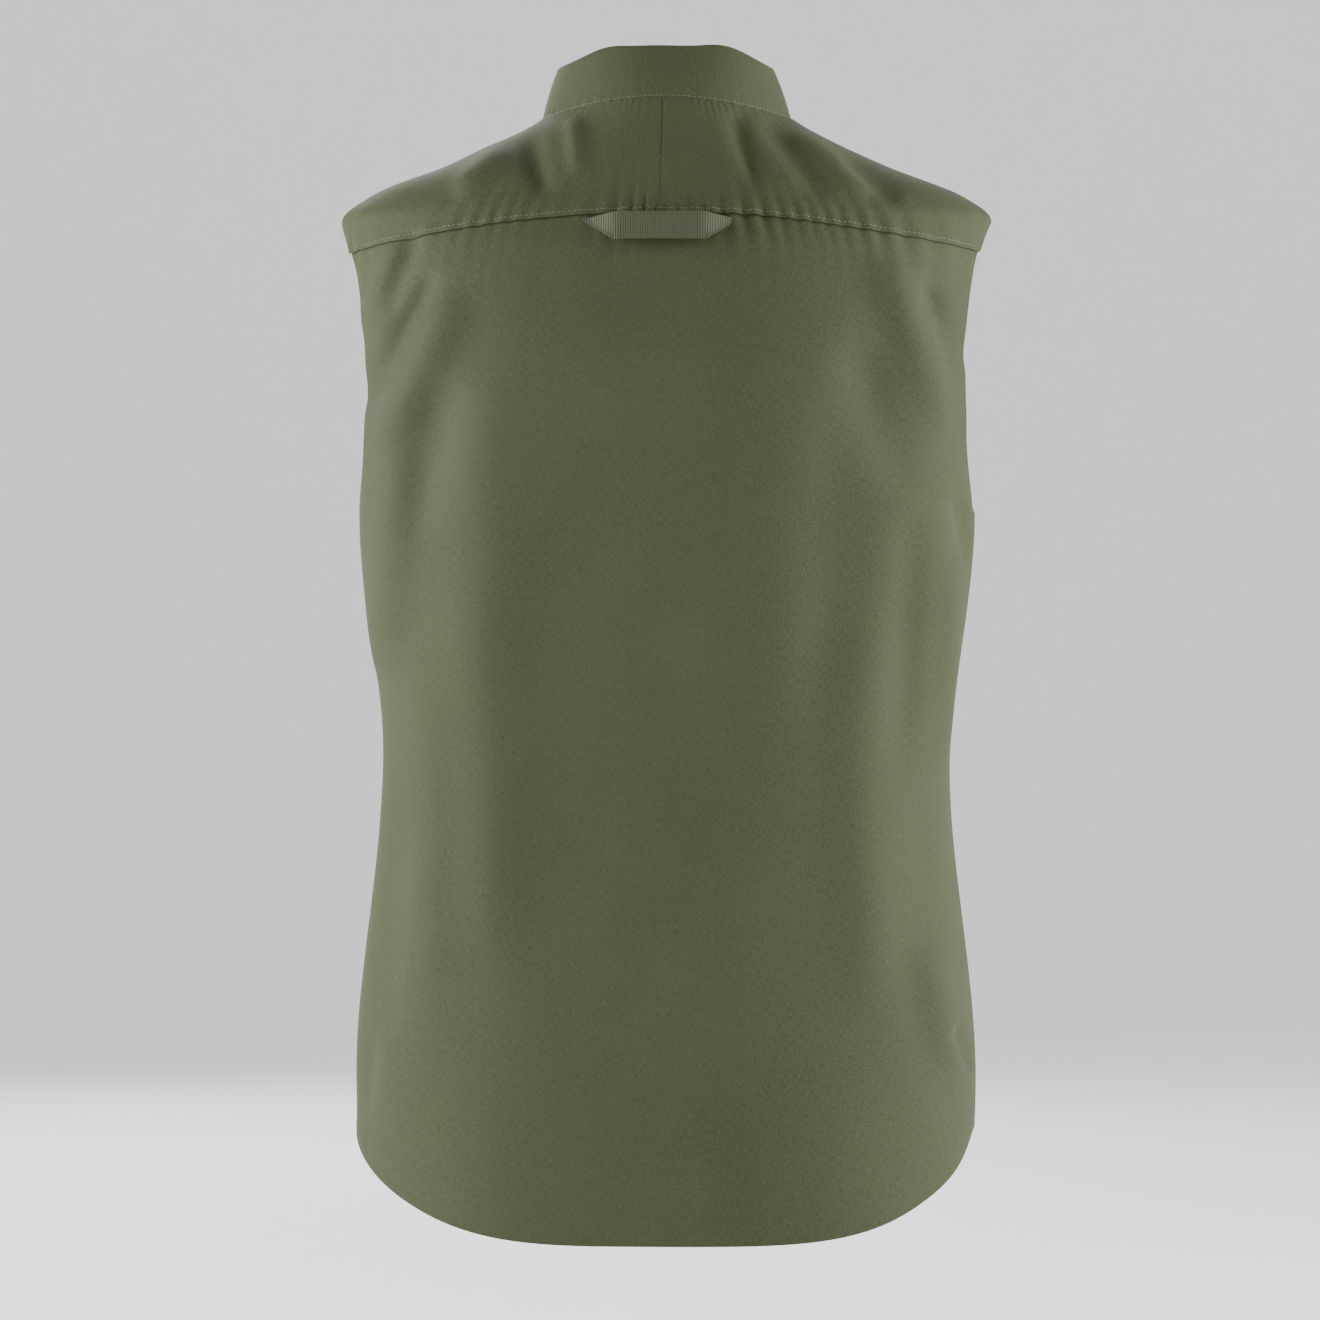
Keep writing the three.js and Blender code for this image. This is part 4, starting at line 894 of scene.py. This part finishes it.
def ribbed(name, colour):
    """Grosgrain: thick weft ribs, each under fine warp threads that show as a dry grain. The colour carries
    painted shade in the valleys between ribs and a painted highlight on their crests.
    """
    material, tree, shader, start = new_material(name)
    uv = start.out("ShaderNodeUVMap", {"uv_map": "pattern"})
    sides = start.node("ShaderNodeSeparateXYZ", i0=uv)
    ribs = start.maths("SINE", Socket(tree, sides.outputs[0]) * (2 * math.pi / RIB)) * 0.5 + 0.5
    grain = start.out("ShaderNodeTexNoise", output=0, Vector=uv, Scale=2600.0, Detail=2.0)
    # painted shade and highlight: the tone follows the rib profile, darker in each valley and lighter on each
    # crest
    tone = ribs * 0.5 + (grain - 0.5) * 0.7 + 0.25
    low, high = [c * 0.72 for c in colour] + [1], [c * 1.25 for c in colour] + [1]
    ramp = start.node("ShaderNodeValToRGB", {"stops": [(0.0, low), (1.0, high)]}, i0=tone)
    tree.links.new(ramp.outputs[0], shader.inputs["Base Color"])
    connect(tree, 0.62 + 0.2 * (grain - 0.5), shader.inputs["Roughness"])
    bump = start.out("ShaderNodeBump", Height=grain + ribs * 0.4, Strength=0.5, Distance=0.0003)
    connect(tree, bump, shader.inputs["Normal"])
    shader.inputs["Sheen Weight"].default_value = 0.03
    shader.inputs["Specular IOR Level"].default_value = 0.15
    return material


webbing = ribbed("webbing", (0.034, 0.0395, 0.0225))


def loop_place(u, v):
    """The strip between its slanted ends, standing off the back in the middle."""
    x = (u - 0.5) * LOOP_TOP
    slant = np.clip((LOOP_TOP / 2 - np.abs(x)) / ((LOOP_TOP - LOOP_BOTTOM) / 2), 0.02, 1)
    down = v * LOOP_HEIGHT * slant
    stand = CLOTH + 0.0072 * smooth((LOOP_TOP / 2 - np.abs(x)) / 0.022) - 0.0012 * (1 - slant)
    ribs = 0.00012 * np.cos(2 * math.pi * x / RIB)
    folded = 0.0007 * np.exp(-(1 - v) * LOOP_HEIGHT * slant / 0.0018) * (slant <= 0.98)
    droop = 0.0005 * np.sin(x * 50 + 1) * v
    out = stand + ribs + folded + droop + 0.0008
    seat = on_form(np.arctan(x / 0.099), np.full_like(x, loop_top_z)) - [0, 0, SHOULDER_LEVEL]
    offset = np.stack([0 * x, out * math.cos(LOOP_TILT) + down * math.sin(LOOP_HANG),
                       out * math.sin(LOOP_TILT) - down * math.cos(LOOP_HANG)], axis=-1)
    seat[:, 0] = x
    return seat + offset


loop = cloth_piece(
    "hang_loop_webbing", (384, 14), loop_place,
    lambda u, v: np.stack([u * LOOP_TOP, v * LOOP_HEIGHT], axis=-1),
    webbing, (0.094, 0.016), 0.0011,
)
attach(loop, "hang_loop")
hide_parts("hang_loop")


BAND_TURN, BAND_HEIGHT, BAND_INSET = 0.485, 0.644, 0.0058


def band_place(u, v):
    """The narrow neck loop: a U of tape inside the nape."""
    x = (u - 0.5) * 0.056
    drop = 0.0155 * (1 - np.abs(2 * u - 1) ** 2.6)
    y = on_form(np.array([BAND_TURN]), np.array([BAND_HEIGHT]))[0, 1] - BAND_INSET
    return np.stack([x, np.full_like(u, y), NAPE - 0.006 - SHOULDER_LEVEL - drop + 0.0045 * v], axis=-1)


neck_band = cloth_piece(
    "neck_loop_tape", (90, 6), band_place, lambda u, v: np.stack([u * 0.06, v * 0.005], axis=-1),
    webbing, (0.080, 0.0105), 0.0009,
)
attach(neck_band, "back")
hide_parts("neck_loop")


# ---- Tool ring: a bent wire D ring in a folded webbing tab, sewn over the left chest flap.
TAB_X, TAB_Z = 0.071, POCKETS["chest"]["bottom"] + POCKETS["chest"]["height"] + FLAP_RISE + 0.026
TAB_WIDTH = 0.015
TAB_HALF, TAB_TUNNEL, TAB_THICK = 0.0075, 0.0049, 0.0052


def tab_frame():
    """The tab's seat on the chest: its middle, and the ways across, up and out."""
    turn = turn_at_x(np.array([TAB_X]), np.array([TAB_Z]))
    out = out_of_form(turn, np.array([TAB_Z]))[0]
    up = np.array([0, 0, 1.0]) - out * out[2]
    up /= np.linalg.norm(up)
    seat = on_form(turn, np.array([TAB_Z]))[0] + out * (CLOTH + 0.0009) - [0, 0, SHOULDER_LEVEL]
    return seat, np.cross(up, out), up, out


tab_at, tab_across, tab_up, tab_out = tab_frame()


def on_tab(x, y, lift):
    """A point x across, y up and lift out from the tab's seat."""
    x, y, lift = (np.asarray(value, float)[..., None] for value in np.broadcast_arrays(x, y, lift))
    return tab_at + x * tab_across + y * tab_up + lift * tab_out


def tab_place(u, v):
    """Down behind the ring's bar, round it, and back up in front, pinched flat where it is sewn."""
    radius = TAB_THICK / 2
    straight, arc = TAB_HALF + TAB_TUNNEL, math.pi * radius
    s = v * (2 * straight + arc)
    a = np.clip((s - straight) / radius, 0, math.pi)
    round_bar = -TAB_TUNNEL - radius * np.sin(a)
    back_up = np.where(s > straight + arc, s - straight - arc - TAB_TUNNEL, round_bar)
    down = np.where(s < straight, TAB_HALF - s, back_up)
    lift = radius - radius * np.cos(a)
    pinch = 0.0028 * smooth((down - 0.0015) / 0.0035) * (a > 1)
    ribs = 0.00015 * np.cos(2 * math.pi * u * TAB_WIDTH / RIB)
    return on_tab((u - 0.5) * TAB_WIDTH, down, lift - pinch + ribs * np.where(a > 1, 1, -1))


tab = cloth_piece(
    "tool_tab_webbing", (60, 46), tab_place, lambda u, v: np.stack([u * TAB_WIDTH, v * 0.033], axis=-1),
    webbing, (TAB_WIDTH, 0.034), 0.0009,
    lambda point: Vector(on_tab(0, -TAB_TUNNEL, TAB_THICK / 2)),
)
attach(tab, "front_left")
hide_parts("tool_tab")

RING_HALF, RING_DROP, WIRE = 0.0111, 0.0175, 0.0009
SHANK = 0.004  # the straight run below each corner of the D
side_run = [(RING_HALF, y) for y in (-0.0008, -0.002, -SHANK)]
bow = [(RING_HALF * math.cos(a), -SHANK - (RING_DROP - 0.0095) * 1.28 * math.sin(a))
       for a in np.linspace(0, math.pi, 26)[1:-1]]
bar = [(x, 0.0) for x in np.linspace(-RING_HALF + 0.0008, RING_HALF - 0.0008, 12)]
wire_path = [Vector(on_tab(x, y - TAB_TUNNEL, TAB_THICK / 2))
             for x, y in bar + side_run + bow + [(-x, y) for x, y in side_run[::-1]]]
bm = bmesh.new()
rings = []
for k, point in enumerate(wire_path):
    run = (wire_path[(k + 1) % len(wire_path)] - wire_path[k - 1]).normalized()
    wide = run.cross(Vector(tab_out)).normalized()
    rings.append([bm.verts.new(point + WIRE * (math.cos(a) * Vector(tab_out) + math.sin(a) * wide))
                  for a in np.linspace(0, 2 * math.pi, 12, endpoint=False)])
for a, b in zip(rings, rings[1:] + rings[:1]):
    for k in range(12):
        bm.faces.new((a[k], a[(k + 1) % 12], b[(k + 1) % 12], b[k]))
bmesh.ops.recalc_face_normals(bm, faces=bm.faces[:])
plated_wire = plain("plated wire", (0.16, 0.155, 0.14), 0.3, 0.2, 0.95)
ring = finished("tool_ring_wire", bm, plated_wire)
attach(ring, "tool_ring")
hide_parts("tool_ring")


# ---- Topstitching: short lock stitches of matching thread, laid in the cloth a little way from each seam.
STITCH, STITCH_LENGTH, THREAD = 0.0031, 0.0023, 0.00028
COLLAR_STITCH = 0.0026  # height of the line above the neck seam
thread = plain("thread", (0.060, 0.064, 0.037), 0.6)


def stitches(name, lines):
    """Each line is a run of points with the direction out of the cloth at each."""
    bm = bmesh.new()
    for points, outs in lines:
        gaps = np.linalg.norm(np.diff(points, axis=0), axis=1)
        reach = np.concatenate([[0], np.cumsum(gaps)])
        for s in np.arange(STITCH / 2, reach[-1] - STITCH / 2, STITCH):
            at = [
                np.array([np.interp(s + d, reach, points[:, k]) for k in range(3)]) for d in (-1e-3, 0, 1e-3)
            ]
            out = Vector([np.interp(s, reach, outs[:, k]) for k in range(3)]).normalized()
            run = Vector(at[2] - at[0]).normalized()
            across = out.cross(run).normalized()
            turn = Matrix((run, across, run.cross(across))).transposed().to_4x4()
            size = Matrix.Diagonal((STITCH_LENGTH / 2, THREAD, THREAD * 0.8, 1))
            where = Matrix.Translation(Vector(at[1]) + out * THREAD * 0.35)
            bmesh.ops.create_uvsphere(bm, u_segments=5, v_segments=4, radius=1.0,
                                      matrix=where @ turn @ size @ Matrix.Rotation(math.pi / 2, 4, "Y"))
    return finished(name, bm, thread, 180)


def line_on_form(turn, z, lift):
    turn, z = np.broadcast_arrays(turn, z)
    return cloth_at(turn, z, lift), out_of_form(turn, z)


def collar_line(turn, height, offset):
    points = collar_at(turn, np.full_like(turn, height), np.full_like(turn, offset))
    outward = collar_at(turn, np.full_like(turn, height), np.full_like(turn, offset + 0.001)) - points
    return points, outward / np.linalg.norm(outward, axis=1, keepdims=True)


yoke_top = YOKE_LIFT + CLOTH
back_turns = np.linspace(-1.36, 1.36, 260)
neck_turns = np.linspace(-COLLAR_SPLIT, COLLAR_SPLIT, 200)
back_lines = [
    line_on_form(back_turns, yoke_seam(back_turns) + 0.0022, yoke_top - 0.0002),
    collar_line(neck_turns, COLLAR_STITCH, COLLAR_GAP / 2 + CLOTH / 2 + 0.0001),
]
back_stitches = stitches("stitches_back", back_lines)
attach(back_stitches, "back")

for side, sign in (("left", 1), ("right", -1)):
    edge_z = np.linspace(FRONT_HEM_LIFT + 0.006, FRONT_NECK - 0.004, 240)
    seam_rows = np.linspace(0.03, 0.97, 60)
    seam_low = armhole_top(np.array([YOKE_FRONT]))[0]
    seam_z = seam_low + (neckline(np.array([YOKE_FRONT]))[0] - seam_low) * seam_rows
    front_neck = np.linspace(COLLAR_SPLIT, math.pi - 0.1, 90)
    lines = [
        line_on_form(sign * turn_at_x(ZIP_EDGE + 0.0025, edge_z), edge_z, CLOTH),
        line_on_form(sign * turn_at_x(ZIP_EDGE + 0.009, edge_z), edge_z, CLOTH),
        line_on_form(np.full_like(seam_z, sign * (YOKE_FRONT - 0.035)), seam_z, yoke_top),
        collar_line(sign * front_neck, COLLAR_STITCH, COLLAR_GAP / 2 + CLOTH / 2 + 0.0001),
    ]
    front_stitches = stitches(f"stitches_{side}", lines)
    bend_with_front(front_stitches)


# ---- Studio: a pale floor that curves up into a wall all round, open to a bright even sky, with a large
# soft light on each side of the back.
paper = plain("paper", (0.82, 0.82, 0.82), 0.9, 0.0)
FLOOR_RADIUS, SWEEP_RADIUS, SWEEP_HEIGHT, FLOOR_LEVEL = 3.2, 4.2, 3.4, -0.74
FLAT_SHARE = 0.35  # of the rows, for the flat floor
bm = bmesh.new()
bmesh.ops.create_grid(bm, x_segments=64, y_segments=18, size=0.5)
for vert in bm.verts:
    round_it, out = (vert.co.x + 0.5) * 2 * math.pi, (vert.co.y + 0.5) * 1.35
    climb = max(0, min(1, out - FLAT_SHARE)) * math.pi / 2
    radius = FLOOR_RADIUS * min(1, out / FLAT_SHARE) + SWEEP_RADIUS * math.sin(climb)
    height = SWEEP_HEIGHT * (1 - math.cos(climb)) + FLOOR_LEVEL
    vert.co = (radius * math.cos(round_it), radius * math.sin(round_it), height)
bmesh.ops.remove_doubles(bm, verts=bm.verts[:], dist=1e-4)
bm.normal_update()
if sum(face.normal.z for face in bm.faces) < 0:
    bmesh.ops.reverse_faces(bm, faces=bm.faces[:])
floor = finished("studio_floor", bm, paper, sharp=180)

bm = bmesh.new()
bmesh.ops.create_circle(bm, cap_ends=True, segments=48, radius=2.0, matrix=Matrix.Translation((0, 0, 1.9)))
dark_paper = plain("dark cloth", (0.06, 0.06, 0.06), 0.9, 0.0)
ceiling = finished("studio_ceiling", bm, dark_paper, sharp=180)
ceiling.visible_camera = False


def soft_light(name, place, aim, size, power):
    light = bpy.data.lights.new(name, "AREA")
    light.shape = "RECTANGLE"
    light.size, light.size_y = size
    light.energy = power
    lamp = bpy.data.objects.new(name, light)
    lamp.location = place
    lamp.visible_camera = False
    lamp.rotation_euler = (Vector(aim) - Vector(place)).to_track_quat("-Z", "Y").to_euler()
    bpy.context.scene.collection.objects.link(lamp)


middle = (0, 0, -0.25)
soft_light("left side", (2.3, 0.60, 0.1), middle, (0.8, 1.9), 205)
soft_light("right side", (-2.3, 0.48, 0.1), middle, (0.8, 1.9), 195)
soft_light("front", (0.8, -2.6, 0.9), middle, (1.4, 1.8), 60)

world = bpy.data.worlds.new("studio air")
world.use_nodes = True
world.node_tree.nodes["Background"].inputs[0].default_value = (1, 1, 1, 1)
world.node_tree.nodes["Background"].inputs[1].default_value = 1.0
bpy.context.scene.world = world

camera = bpy.data.cameras.new("camera")
camera.sensor_width = 36
DISTANCE, VIEW_WIDTH = 3.5, 0.751
camera.lens = camera.sensor_width * DISTANCE / VIEW_WIDTH
eye = bpy.data.objects.new("camera", camera)
ROUND = math.radians(2.3)  # the vest is turned this far from square on
away = DISTANCE + 0.05
eye.location = (0.004 - away * math.sin(ROUND), away * math.cos(ROUND), -0.2763)
eye.rotation_euler = (math.pi / 2, 0, math.pi + ROUND)
bpy.context.scene.collection.objects.link(eye)
bpy.context.scene.camera = eye
